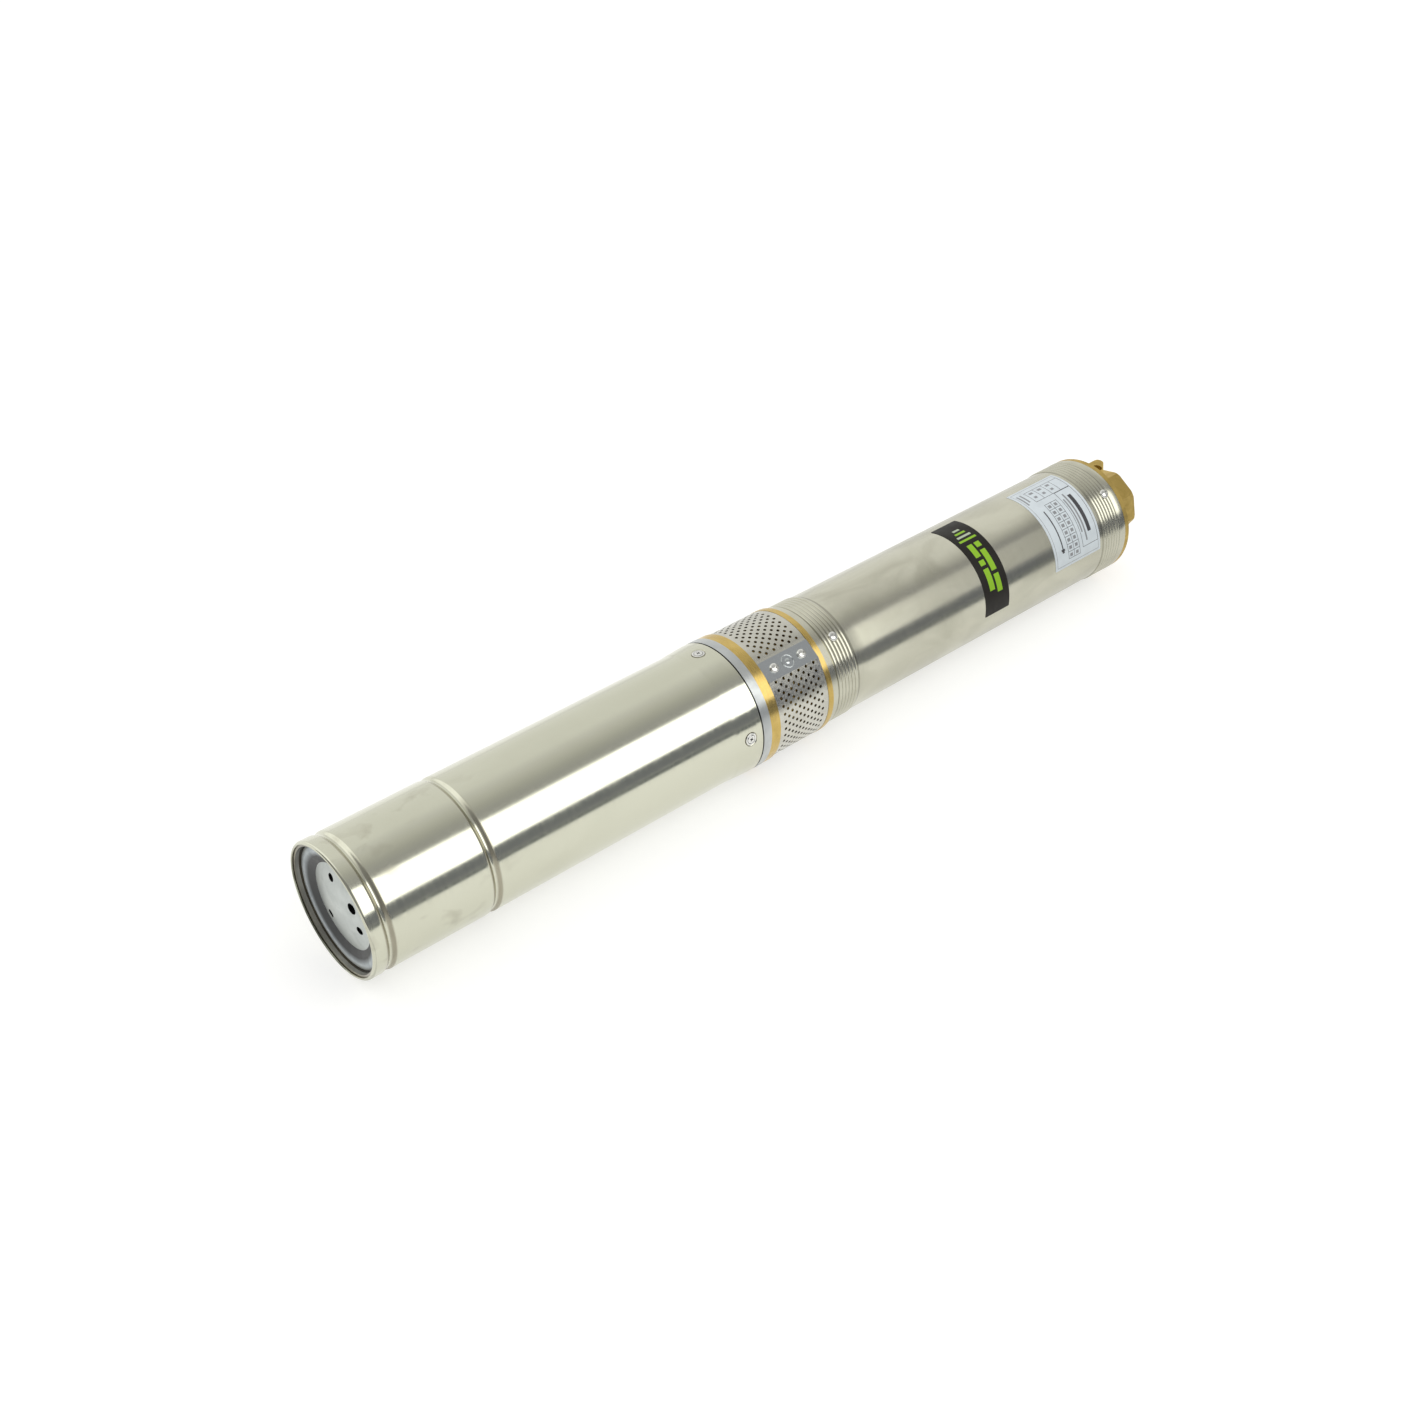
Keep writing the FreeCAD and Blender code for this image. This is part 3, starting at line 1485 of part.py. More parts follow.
def valve_poppet():
    disc_radius = poppet_diameter / 2
    stem = stem_diameter / 2
    return turned([
        (poppet_x, 0),
        (poppet_x, disc_radius),
        (poppet_top - poppet_edge_width, disc_radius),
        (poppet_top, disc_radius - poppet_edge_width),
        (poppet_top, stem),
        (stem_end - stem_edge_width, stem),
        (stem_end, stem - stem_edge_width),
        (stem_end, 0),
    ])


def valve_spring():
    mean = valve_spring_diameter / 2
    return coil(poppet_top, guide_rib_x, mean, valve_spring_wire_diameter, valve_spring_turns)


def motor_lead():
    """Sheathed cable inside the pump, from the windings to the gland."""
    end = flange_end - gland_bore_depth + lead_bush_length
    return axial_hole(winding_end, end, lead_diameter / 2, lead_radius, lead_angle)


def cable_gland_bush():
    start = flange_end - gland_bore_depth
    end = start + gland_bush_length
    bush = axial_hole(start, end, gland_bush_radius, lead_radius, lead_angle)
    bore = through_hole(start, end, lead_diameter / 2 + fit_gap, lead_radius, lead_angle)
    return bush.cut(bore).Solids[0]


def cable_gland_nut():
    start = flange_end
    end = start + gland_nut_height
    bush_end = flange_end - gland_bore_depth + gland_bush_length
    first_corner_angle = lead_angle + 180.0 / gland_nut_sides
    nut = prism(
        start, end, gland_nut_flats_width, gland_nut_sides, first_corner_angle, lead_radius, lead_angle
    )
    pocket = axial_hole(start - cut_margin, bush_end, gland_bush_radius + fit_gap, lead_radius, lead_angle)
    entry = through_hole(start, end, gland_entry_diameter / 2, lead_radius, lead_angle)
    return nut.cut([pocket, entry]).Solids[0]


def curved_label(start, width, first_angle, arc_length):
    """Thin label on the pump tube, with rounded corners."""
    inner = tube_radius + fit_gap
    outer = inner + label_thickness
    arc = math.degrees(arc_length / tube_radius)
    label = sector(start, start + width, inner, outer, first_angle, arc)
    for x, direction in ((start, 1), (start + width, -1)):
        for angle, turn in ((first_angle, 1), (first_angle + arc, -1)):
            label = label.cut(label_corner_cut(x, direction, angle, turn, outer))
    return label.Solids[0]


def label_corner_cut(x, direction, angle, turn, outer):
    """Bar that rounds one corner of a label."""
    corner_angle = math.degrees(label_corner_radius / tube_radius)
    centre_angle = angle + turn * corner_angle
    centre_x = x + direction * label_corner_radius
    outside_x = x - direction * cut_margin
    low_x = min(outside_x, centre_x)
    high_x = max(outside_x, centre_x)
    low_angle = min(angle - turn * corner_angle, centre_angle)
    inner = tube_radius - cut_margin
    block = sector(low_x, high_x, inner, outer + cut_margin, low_angle, 2 * corner_angle)
    foot = inner - cut_margin
    top = outer + 2 * cut_margin
    return block.cut(radial_bar(centre_x, centre_angle, foot, top, label_corner_radius))


def band_label():
    start = flange_x - band_label_setback_length - band_label_width / 2
    return curved_label(start, band_label_width, band_label_first_angle, band_label_length)


def rating_label():
    start = flange_x - rating_label_setback_length - rating_label_width / 2
    return curved_label(start, rating_label_width, rating_label_first_angle, rating_label_length)


def write(name, shape):
    """Move a piece to the row's frame and write it."""
    placed = shape.copy()
    placed.translate(Vector(-outlet_x / 2, 0, rest_radius))
    placed.exportStep("parts/" + name + ".step")


pieces = {
    "motor_shell": motor_shell(),
    "cover_retaining_ring": retaining_ring(),
    "end_cover": end_cover(),
    "vent_plate": vent_plate(),
    "shell_seal_rings": shell_seal_rings(),
    "equalising_diaphragm": equalising_diaphragm(),
    "capacitor": capacitor(),
    "lower_bearing_bracket": lower_bearing_bracket(),
    "wave_spring": wave_spring(),
    "lower_bearing_outer_ring": bearing_outer_ring(*lower_bearing()),
    "lower_bearing_inner_ring": bearing_inner_ring(*lower_bearing()),
    "lower_ball_cage": ball_cage(*lower_bearing()),
    "upper_bearing_outer_ring": bearing_outer_ring(*upper_bearing()),
    "upper_bearing_inner_ring": bearing_inner_ring(*upper_bearing()),
    "upper_ball_cage": ball_cage(*upper_bearing()),
    "stator_core": stator_core(),
    "stator_windings": stator_windings(),
    "rotor_core": rotor_core(),
    "rotor_cage": rotor_cage(),
    "motor_shaft": motor_shaft(),
    "upper_bearing_bracket": upper_bearing_bracket(),
    "shell_screws": shell_screws(),
    "shaft_lip_seal": shaft_lip_seal(),
    "seal_spring": seal_spring(),
    "seal_head": seal_head(),
    "seal_seat": seal_seat(),
    "inlet_body": inlet_body(),
    "inlet_strainer": inlet_strainer(),
    "strainer_screws": strainer_screws(),
    "shaft_coupling": shaft_coupling(),
    "pump_shaft": pump_shaft(),
    "pump_shaft_nut": pump_shaft_nut(),
    "pump_tube": pump_tube(),
    "tube_lock_screws": tube_lock_screws(),
    "tube_seal_rings": tube_seal_rings(),
    "top_bearing_carrier": top_bearing_carrier(),
    "top_bearing_bush": top_bearing_bush(),
    "delivery_head": delivery_head(),
    "valve_guide": valve_guide(),
    "valve_poppet": valve_poppet(),
    "valve_spring": valve_spring(),
    "motor_lead": motor_lead(),
    "cable_gland_bush": cable_gland_bush(),
    "cable_gland_nut": cable_gland_nut(),
    "band_label": band_label(),
    "rating_label": rating_label(),
}

first_bowl = stage_bowl(stages_x)
first_impeller = impeller(stages_x)
for stage in range(stage_count):
    for name, first in (("stage_bowl_", first_bowl), ("impeller_", first_impeller)):
        copy = first.copy()
        copy.translate(Vector(stage * stage_pitch, 0, 0))
        pieces[name + str(stage + 1)] = copy

os.makedirs("parts", exist_ok=True)
for name, shape in pieces.items():
    write(name, shape)
print("pump length", round(outlet_x, 2), "mm, pieces", len(pieces))
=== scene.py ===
import json
import math

import bmesh
import bpy
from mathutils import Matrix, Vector


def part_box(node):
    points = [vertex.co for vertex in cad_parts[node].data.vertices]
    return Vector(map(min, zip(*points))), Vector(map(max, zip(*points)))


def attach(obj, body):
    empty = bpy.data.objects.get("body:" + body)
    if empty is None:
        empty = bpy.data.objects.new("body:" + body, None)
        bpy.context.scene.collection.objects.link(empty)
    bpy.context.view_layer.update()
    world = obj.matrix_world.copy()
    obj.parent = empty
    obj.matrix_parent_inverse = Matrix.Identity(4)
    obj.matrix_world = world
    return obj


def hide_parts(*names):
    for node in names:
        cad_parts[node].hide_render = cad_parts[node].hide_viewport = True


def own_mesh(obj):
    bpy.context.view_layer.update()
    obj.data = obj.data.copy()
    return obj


# The pump lies on a white floor. Places along it are in millimetres from the motor's foot, and
# angles round its axis are in degrees, from +Y towards +Z, as in the CAD source.

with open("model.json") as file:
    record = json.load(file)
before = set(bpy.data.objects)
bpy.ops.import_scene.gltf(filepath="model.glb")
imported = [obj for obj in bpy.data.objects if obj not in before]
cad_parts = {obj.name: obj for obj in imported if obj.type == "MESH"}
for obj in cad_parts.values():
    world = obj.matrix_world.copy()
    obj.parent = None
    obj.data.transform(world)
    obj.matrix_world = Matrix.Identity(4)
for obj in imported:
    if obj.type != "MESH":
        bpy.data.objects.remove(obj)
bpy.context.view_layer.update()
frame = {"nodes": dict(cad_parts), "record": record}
nodes = frame["nodes"]

MM = 0.001
WELD = 0.002
MOTOR_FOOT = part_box("motor_shell")[0][0]
AXIS_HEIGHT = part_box("upper_bearing_bracket")[1][2] / 2
FLANGE = (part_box("pump_tube")[1][0] - MOTOR_FOOT) / MM
TUBE_FOOT = (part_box("pump_tube")[0][0] - MOTOR_FOOT) / MM
SHELL_END = (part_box("motor_shell")[1][0] - MOTOR_FOOT) / MM

# Camera, as fitted to the photograph
CAMERA_PLACE = Vector((-377.755, -808.060, 838.471)) * MM
CAMERA_AZIMUTH = 49.457
CAMERA_ELEVATION = 38.256
PHOTO_WIDTH = 1422.0
FOCAL_PIXELS = 1905.39
SENSOR = 36.0

# Motor shell
SHELL_RADIUS = 49.0
SHELL_WALL = 1.2
GROOVE_CENTRES = (13.1, 93.3)
GROOVE_WIDTH = 8.0
GROOVE_DEPTH = 1.8
# Painted shade in the rolled grooves: offsets of its edge line and of its far flank
GROOVE_SHADE_EDGE = 2.8
GROOVE_SHADE_FLANK = 2.3
FLARE_START = 295.7
FLARE_STEP = 0.4
FLARE_STEP_LENGTH = 4.5
FLARE_TAPER = 13.5
FLARE_RADIUS = 50.2
SHELL_END_EDGE = 0.3
RIM_ROLL = 2.3
RIM_TIP = 0.2
SHELL_SCREW_PLACE = 308.1
SHELL_SCREW_ANGLES = (81.5, 171.5, 261.5, 351.5)
DIMPLE_FLOOR = 4.4
DIMPLE_RADIUS = 5.6
DIMPLE_DEPTH = 0.9
# Painted shade in the dimple round each countersunk screw, full inside the first radius
DIMPLE_SHADE_START = 4.9
DIMPLE_SHADE_END = 5.3
SEAM_WIDTH = 0.8

# Bottom cover
# Radii over which the cover's cone turns dark grey and less metallic
DARK_CONE_FULL = 36.0
DARK_CONE_END = 40.0
RIDGE_FOOT = 44.3
COVER_DEPTH = 30.0

# Strainer
STRAINER_START = (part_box("inlet_strainer")[0][0] - MOTOR_FOOT) / MM
STRAINER_END = (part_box("inlet_strainer")[1][0] - MOTOR_FOOT) / MM
STRAINER_MIDDLE = (STRAINER_START + STRAINER_END) / 2
STRAINER_RADIUS = 48.9
STRAINER_WALL = 0.8
STRAINER_ROWS = 101
STRAINER_BLANK_ROWS = 6
FIRST_ROW_ANGLE = 137.9
HOLE_PITCH = 7.1
HOLE_RADIUS = 1.15
HOLES_IN_ROW = 6
CELL_STEPS = 8
HOLE_STEPS = 20
OVERLAP_START = 117.7
OVERLAP_END = 136.1
OVERLAP_MIDDLE = 121.5
OVERLAP_DISTANCE = 48.95
SINK_START = 106.0
SINK_DEPTH = 0.3
RISE_END = 157.0
RISE_POWER = 2.6
SEAM_ANGLE = 127.2
STAMP_RADIUS = 5.2
STAMP_LINE = 1.0
STAMP_RISE = 0.5
STAMP_BOSS = 2.2

# Pump tube
TUBE_RADIUS = 46.5
TUBE_WALL = 1.2
CREST = 0.8
CREST_PITCH = 3.17
CREST_COUNT = 6
LOWER_BAND = 6.4
LOWER_BAND_RISE = 1.2
LOWER_BAND_EDGE = 0.3
UPPER_BAND = 5.1
UPPER_BAND_RISE = 0.9
THREAD_LENGTH = CREST_COUNT * CREST_PITCH
LOWER_THREAD = TUBE_FOOT + LOWER_BAND + CREST_PITCH / 2
UPPER_THREAD = FLANGE - UPPER_BAND - CREST_PITCH / 2 - THREAD_LENGTH

# Screws
SCREW_STEPS = 72
PAN_SEAM_PLACES = (STRAINER_MIDDLE - 12.85, STRAINER_MIDDLE + 12.85)
PAN_SEAM_RADIUS = 48.9
PAN_LOCK_PLACES = (LOWER_THREAD + 8.56, UPPER_THREAD + 15.03)
PAN_LOCK_ANGLE = 126.2
PAN_LOCK_RADIUS = TUBE_RADIUS + CREST
PAN_PROFILE = (
    (1.5, 2.45),
    (1.9, 2.36),
    (2.3, 2.24),
    (2.7, 2.09),
    (3.1, 1.83),
    (3.4, 1.48),
    (3.65, 1.0),
    (3.8, 0.5),
    (3.88, 0.0),
    (3.88, -1.0),
)
PAN_TOP = 2.6
FLUSH_PROFILE = (
    (2.1, 0.22),
    (2.6, 0.14),
    (3.0, 0.02),
    (3.15, -0.12),
    (3.25, -0.22),
    (3.4, -0.12),
    (3.6, -0.02),
    (4.1, -0.02),
    (4.4, -0.05),
    (4.58, -0.2),
    (4.6, -0.95),
)
FLUSH_TOP = 0.3
# Radii of the painted shade in the groove ring of a countersunk head
HEAD_RING_SHADE = (3.08, 3.4)
RECESS_REACH = 1.45
RECESS_WIDTH = 0.75
RECESS_DEPTH = 0.9

# Finishes. A metal has its name, colour, darker colour, roughness, change of roughness and the noise
# scale of its patches, then the stretch, noise scale and strength of its tool lines. A plastic has its
# name, colour, roughness and, where it isn't the usual one, the noise scale of its grain.
EVEN = (1.0, 1.0, 1.0)
RINGS = (6.0, 0.2, 0.2)
PLAIN_METALS = (
    ("spring_steel", (0.44, 0.42, 0.37), (0.34, 0.32, 0.28), 0.30, 0.1, 80.0, RINGS, 300.0, 0.2),
    ("bearing_steel", (0.68, 0.68, 0.68), (0.60, 0.60, 0.60), 0.12, 0.05, 80.0, RINGS, 300.0, 0.1),
    ("core_steel", (0.30, 0.30, 0.31), (0.20, 0.19, 0.18), 0.45, 0.1, 60.0, (30.0, 0.2, 0.2), 60.0, 0.4),
    ("shaft_steel", (0.60, 0.60, 0.59), (0.52, 0.52, 0.51), 0.2, 0.08, 60.0, RINGS, 300.0, 0.2),
    ("brass", (0.63, 0.46, 0.16), (0.52, 0.37, 0.11), 0.20, 0.10, 60.0, RINGS, 300.0, 0.3),
    ("cast_brass", (0.58, 0.42, 0.13), (0.47, 0.335, 0.10), 0.38, 0.14, 120.0, EVEN, 700.0, 0.6),
)
PLASTICS = (
    ("black_rubber", (0.03, 0.03, 0.03), 0.6),
    ("cable_sheath", (0.02, 0.02, 0.022), 0.5),
    ("capacitor_plastic", (0.75, 0.76, 0.76), 0.35),
    ("winding", (0.30, 0.10, 0.02), 0.35, 900.0),
    ("seal_ceramic", (0.80, 0.78, 0.70), 0.2),
    ("seal_carbon", (0.03, 0.03, 0.033), 0.35),
    ("stage_plastic", (0.03, 0.03, 0.033), 0.5),
    ("impeller_plastic", (0.70, 0.67, 0.56), 0.4),
    ("valve_plastic", (0.66, 0.64, 0.56), 0.4),
)

# Labels
LABEL_LINE = 0.4
TABLE_ROWS = 8
TABLE_MARKS = ((17.2, 3.2), (24.0, 3.0))

# Studio. Places along the tent are in metres from the motor's foot.
WHITE = (1.0, 1.0, 1.0)
TENT_RADIUS = 1.6
TENT_START = -1.2
TENT_END = 3.5
TENT_LAST_ANGLE = 180.0
BOX_START = 119.6
BOX_END = 160.8
BOX_TONE = (2.4, 2.4, 2.352)
NEAR_END_TONE = 0.32
FAR_END_TONE = 0.40
TENT_SPAN = (0.0, 190.0)
NEAR_TONES = (
    (0.0, (0.98, 0.98, 0.96)),
    (62.0, (0.93, 0.93, 0.91)),
    (74.0, (0.79, 0.79, 0.78)),
    (86.0, (0.68, 0.68, 0.65)),
    (98.0, (0.54, 0.54, 0.52)),
    (110.0, (0.45, 0.45, 0.46)),
    (160.0, (0.45, 0.45, 0.46)),
    (162.0, (0.20, 0.21, 0.24)),
    (175.0, (0.22, 0.23, 0.26)),
    (180.0, (0.28, 0.28, 0.30)),
)
FAR_TONES = (
    (0.0, (1.0, 1.0, 0.98)),
    (74.0, (0.99, 0.99, 0.97)),
    (86.0, (0.87, 0.87, 0.85)),
    (98.0, (0.62, 0.62, 0.60)),
    (110.0, (0.37, 0.37, 0.38)),
    (160.0, (0.40, 0.40, 0.42)),
    (170.0, (0.20, 0.21, 0.24)),
    (180.0, (0.13, 0.14, 0.17)),
)
END_TONES = (
    (0.0, (1.0, 1.0, 0.98)),
    (30.0, (1.25, 1.25, 1.22)),
    (62.0, (1.45, 1.45, 1.42)),
    (75.0, (1.2, 1.2, 1.17)),
    (86.0, (0.8, 0.8, 0.78)),
    (98.0, (0.42, 0.42, 0.42)),
    (110.0, (0.22, 0.22, 0.23)),
    (180.0, (0.14, 0.14, 0.15)),
)
END_TONES_END = -0.6
TONES_NEAR_START = -0.35
TONES_NEAR_END = 1.5
TONES_FAR_START = 2.0
DIM_SPAN = (-1.2, 3.5)
DIM_STOPS = (
    (-1.2, 1.0),
    (-0.6, 1.0),
    (-0.4, 1.35),
    (-0.2, 1.35),
    (-0.1, 1.0),
    (2.5, 1.0),
    (3.0, 0.55),
    (3.5, 0.5),
)
BOX_SPAN = (-1.0, 3.0)
BOX_FADE = ((-0.5, 0.25), (-0.15, 1.0), (1.36, 1.0), (1.56, 0.41), (1.74, 0.32), (1.98, 0.21))

# The floor in reflections, in metres: a dark strip in front of the pump, a fall in brightness along
# it and a bright patch before its foot
STRIP_START = -0.744
STRIP_SLOPE = 0.414
STRIP_LAST = 1.05
STRIP_SOFT = 0.06
STRIP_TONE = (0.19, 0.205, 0.22)
FLOOR_NEAR = 0.4
FLOOR_FAR = 0.8
FLOOR_FAR_TONE = 0.65
BRIGHT_TONE = (1.05, 1.05, 1.03)
BRIGHT_ALONG = (0.01, -0.01)
BRIGHT_ACROSS = (0.18, 0.10)

# Floor, world and lamp
FLOOR_COLOUR = (0.60, 0.60, 0.58)
FLOOR_GLOW = 0.55
FLOOR_REACH = 4.0
WORLD_STRENGTH = 0.85
LAMP_PLACE = (0.3, -0.9, 1.3)
LAMP_SIZE = (1.4, 0.8)
LAMP_POWER = 4.0


def place(along, radius, angle):
    """Point of the row frame from a place along the pump, a radius and an angle."""
    turn = math.radians(angle)
    return Vector((
        MOTOR_FOOT + along * MM,
        radius * math.cos(turn) * MM,
        AXIS_HEIGHT + radius * math.sin(turn) * MM,
    ))


# Node helpers. A value is a socket, a number or a colour, and a socket knows its own node tree.


def set_input(node, key, value):
    """Let a node's input follow a socket, or give it a number, a vector or a colour."""
    entry = node.inputs[key]
    if isinstance(value, bpy.types.NodeSocket):
        node.id_data.links.new(value, entry)
    elif entry.type == "RGBA":
        entry.default_value = (*value, 1.0)
    else:
        entry.default_value = value


def add_node(tree, kind, inputs=None, **settings):
    """New node with its settings, and its inputs from a dictionary of values."""
    node = tree.nodes.new(kind)
    for name, value in settings.items():
        setattr(node, name, value)
    for key, value in (inputs or {}).items():
        set_input(node, key, value)
    return node


def tree_of(values):
    """Node tree of the first socket among some values."""
    return next(value.id_data for value in values if isinstance(value, bpy.types.NodeSocket))


def calc(operation, *values):
    """Result of a maths node."""
    inputs = dict(enumerate(values))
    return add_node(tree_of(values), "ShaderNodeMath", inputs, operation=operation).outputs[0]


def mix_colour(factor, first, second, blend_type="MIX"):
    """Blend of two colours."""
    inputs = {0: factor, 6: first, 7: second}
    tree = tree_of(inputs.values())
    return add_node(tree, "ShaderNodeMix", inputs, data_type="RGBA", blend_type=blend_type).outputs[2]


def mix_shaders(factor, first, second):
    """Blend of two shaders, by a socket."""
    return add_node(factor.id_data, "ShaderNodeMixShader", {0: factor, 1: first, 2: second}).outputs[0]


def glow(tree, colour, strength, kind="ShaderNodeEmission"):
    """Light of one colour, from a surface or from the world."""
    return add_node(tree, kind, {"Color": colour, "Strength": strength}).outputs[0]


def spread(value, low, high, out_low=0.0, out_high=1.0):
    """Value mapped from one range to another, and clamped."""
    inputs = {"Value": value, "From Min": low, "From Max": high, "To Min": out_low, "To Max": out_high}
    return add_node(value.id_data, "ShaderNodeMapRange", inputs).outputs[0]


def inside(value, low, high):
    """1 where a value lies between two limits."""
    apart = calc("ABSOLUTE", calc("SUBTRACT", value, (low + high) / 2))
    return calc("LESS_THAN", apart, (high - low) / 2)


def hypotenuse(first, second):
    return calc("SQRT", calc("MULTIPLY_ADD", first, first, calc("MULTIPLY", second, second)))


def from_below(angle):
    """The same angle, counted from -90 to 270 degrees."""
    return calc("WRAP", angle, 270.0, -90.0)


def coordinates(tree, kind="Object"):
    """Sockets with the three parts of a place in object space, or of a normal."""
    source = add_node(tree, "ShaderNodeTexCoord").outputs[kind]
    return add_node(tree, "ShaderNodeSeparateXYZ", {0: source}).outputs


def pump_place(tree):
    """Sockets with the place along the pump in millimetres and the angle round it in degrees."""
    x, y, z = coordinates(tree)
    metres = calc("SUBTRACT", x, MOTOR_FOOT)
    turn = calc("ARCTAN2", calc("SUBTRACT", z, AXIS_HEIGHT), y)
    return calc("MULTIPLY", metres, 1 / MM), calc("MULTIPLY", turn, 180 / math.pi)


def axis_distance(tree):
    """Distance from the pump's axis in millimetres."""
    x, y, z = coordinates(tree)
    return calc("MULTIPLY", hypotenuse(calc("SUBTRACT", z, AXIS_HEIGHT), y), 1 / MM)


def noise(tree, scale, detail=3.0, stretch=EVEN, distortion=0.0):
    """Noise value in object space, stretched along the axes."""
    source = add_node(tree, "ShaderNodeTexCoord").outputs["Object"]
    mapped = add_node(tree, "ShaderNodeMapping", {"Vector": source, "Scale": stretch}).outputs[0]
    inputs = {"Vector": mapped, "Scale": scale, "Detail": detail, "Distortion": distortion}
    return add_node(tree, "ShaderNodeTexNoise", inputs).outputs["Fac"]


def bump(shader, height, strength, distance):
    """Bump from a height socket."""
    inputs = {"Height": height, "Strength": strength, "Distance": distance}
    set_input(shader, "Normal", add_node(shader.id_data, "ShaderNodeBump", inputs).outputs[0])


def tint(shader, factor, colour):
    """Mix one more colour into what a shader's base colour follows."""
    before = shader.inputs["Base Color"].links[0].from_socket
    set_input(shader, "Base Color", mix_colour(factor, before, colour))


# Materials, kept by the names of the record's slots

materials = {}


def new_material(name, colour, roughness, metallic=1.0):
    """Shader of a new material."""
    materials[name] = bpy.data.materials.new(name)
    materials[name].use_nodes = True
    shader = materials[name].node_tree.nodes["Principled BSDF"]
    for key, value in (("Base Color", colour), ("Roughness", roughness), ("Metallic", metallic)):
        set_input(shader, key, value)
    return shader


def metal(name, colour, dark, roughness, rough_change, patch_scale, line_stretch, line_scale, line_strength):
    """Metal with soft patches in its colour and gloss, and fine tool lines."""
    shader = new_material(name, colour, roughness)
    tree = shader.id_data
    patches = spread(noise(tree, patch_scale, 4.0, distortion=0.6), 0.35, 0.7)
    set_input(shader, "Base Color", mix_colour(patches, colour, dark))
    lines = noise(tree, line_scale, 2.0, line_stretch)
    worn = spread(lines, 0.3, 0.7, roughness - rough_change / 2, roughness + rough_change / 2)
    set_input(shader, "Roughness", calc("MULTIPLY_ADD", patches, rough_change, worn))
    bump(shader, lines, line_strength, 0.00002)
    return shader


def polished_steel():
    """Bright motor shell, with faint smudges near its foot, and painted shade in its grooves and round its
    screws.
    """
    shader = new_material("polished_steel", (0.61, 0.61, 0.50), 0.12)
    tree = shader.id_data
    patches = spread(noise(tree, 14.0, 5.0, (0.6, 1.0, 1.0), 0.8), 0.4, 0.75)
    smudges = spread(noise(tree, 60.0, 4.0, (0.7, 1.0, 1.0), 0.4), 0.58, 0.72)
    along, angle = pump_place(tree)
    near = spread(along, 150.0, 60.0)
    smudges_and_shade = calc("MULTIPLY", smudges, calc("MULTIPLY", near, 0.28))
    # painted shade in the rolled grooves
    smudges_and_shade = calc("MAXIMUM", smudges_and_shade, groove_shade(along, angle))
    # painted shade in the dimple round each shell screw
    joint = spread(shell_screw_distance(along, angle), DIMPLE_SHADE_END, DIMPLE_SHADE_START, 0.0, 0.85)
    smudges_and_shade = calc("MAXIMUM", smudges_and_shade, joint)
    clean = mix_colour(patches, (0.62, 0.62, 0.51), (0.57, 0.57, 0.46))
    # the brown paints real smudges near the foot, and painted shade in the grooves and dimples
    set_input(shader, "Base Color", mix_colour(smudges_and_shade, clean, (0.30, 0.27, 0.20)))
    lines = noise(tree, 220.0, 2.0, (4.0, 0.15, 0.15))
    worn = calc("MULTIPLY_ADD", patches, 0.05, spread(lines, 0.3, 0.7, 0.10, 0.16))
    set_input(shader, "Roughness", calc("MULTIPLY_ADD", smudges_and_shade, 0.2, worn))
    waves = noise(tree, 9.0, 2.0, (0.5, 1.0, 1.0))
    bump(shader, calc("MULTIPLY_ADD", lines, 0.02, waves), 0.2, 0.0006)


def shell_screw_distance(along, angle):
    """Distance in millimetres from the nearest screw of the shell."""
    side = calc("SUBTRACT", along, SHELL_SCREW_PLACE)
    turn = calc("WRAP", calc("SUBTRACT", angle, SHELL_SCREW_ANGLES[0]), 45.0, -45.0)
    return hypotenuse(side, calc("MULTIPLY", turn, math.radians(1.0) * FLARE_RADIUS))


def groove_shade(along, angle):
    """Painted shade along the edge and on the far flank of each rolled groove, less on top."""
    lower_half = spread(from_below(angle), 95.0, 140.0)
    total = 0.0
    for centre in GROOVE_CENTRES:
        edge = calc("ABSOLUTE", calc("SUBTRACT", along, centre - GROOVE_SHADE_EDGE))
        flank = calc("ABSOLUTE", calc("SUBTRACT", along, centre + GROOVE_SHADE_FLANK))
        band = calc("MULTIPLY", spread(flank, 2.0, 0.8, 0.0, 0.75), lower_half)
        both = calc("MAXIMUM", spread(edge, 1.0, 0.2, 0.0, 0.7), band)
        total = calc("MAXIMUM", both, total)
    return total


def satin_steel():
    """Pump tube, duller and more mottled than the motor shell, with painted shade between its thread ridges.
    """
    shader = new_material("satin_steel", (0.57, 0.57, 0.47), 0.2)
    tree = shader.id_data
    patches = spread(noise(tree, 26.0, 6.0, (0.5, 1.0, 1.0), 1.2), 0.38, 0.68)
    clean = mix_colour(patches, (0.59, 0.58, 0.48), (0.49, 0.48, 0.39))
    valley_shade = calc("MULTIPLY", thread_valley_shade(tree), 0.5)
    # painted shade between the thread ridges
    set_input(shader, "Base Color", mix_colour(valley_shade, clean, (0.22, 0.21, 0.16)))
    lines = noise(tree, 260.0, 2.0, (5.0, 0.12, 0.12))
    worn = calc("MULTIPLY_ADD", patches, 0.08, spread(lines, 0.3, 0.7, 0.14, 0.20))
    set_input(shader, "Roughness", worn)
    waves = noise(tree, 16.0, 3.0, (0.5, 1.0, 1.0))
    bump(shader, calc("MULTIPLY_ADD", lines, 0.02, waves), 0.25, 0.0006)


def thread_valley_shade(tree):
    """Painted shade: 1 at the foot of each valley between the thread ridges, falling to 0 towards their
    crests.
    """
    along, angle = pump_place(tree)
    far = axis_distance(tree)
    margin = CREST_PITCH / 2
    starts = (LOWER_THREAD, UPPER_THREAD)
    threads = [inside(along, start - margin, start + THREAD_LENGTH + margin) for start in starts]
    deep = spread(far, TUBE_RADIUS + 0.45, TUBE_RADIUS + 0.05)
    outside = calc("GREATER_THAN", far, TUBE_RADIUS - TUBE_WALL / 2)
    return calc("MULTIPLY", calc("MULTIPLY", deep, outside), calc("ADD", *threads))


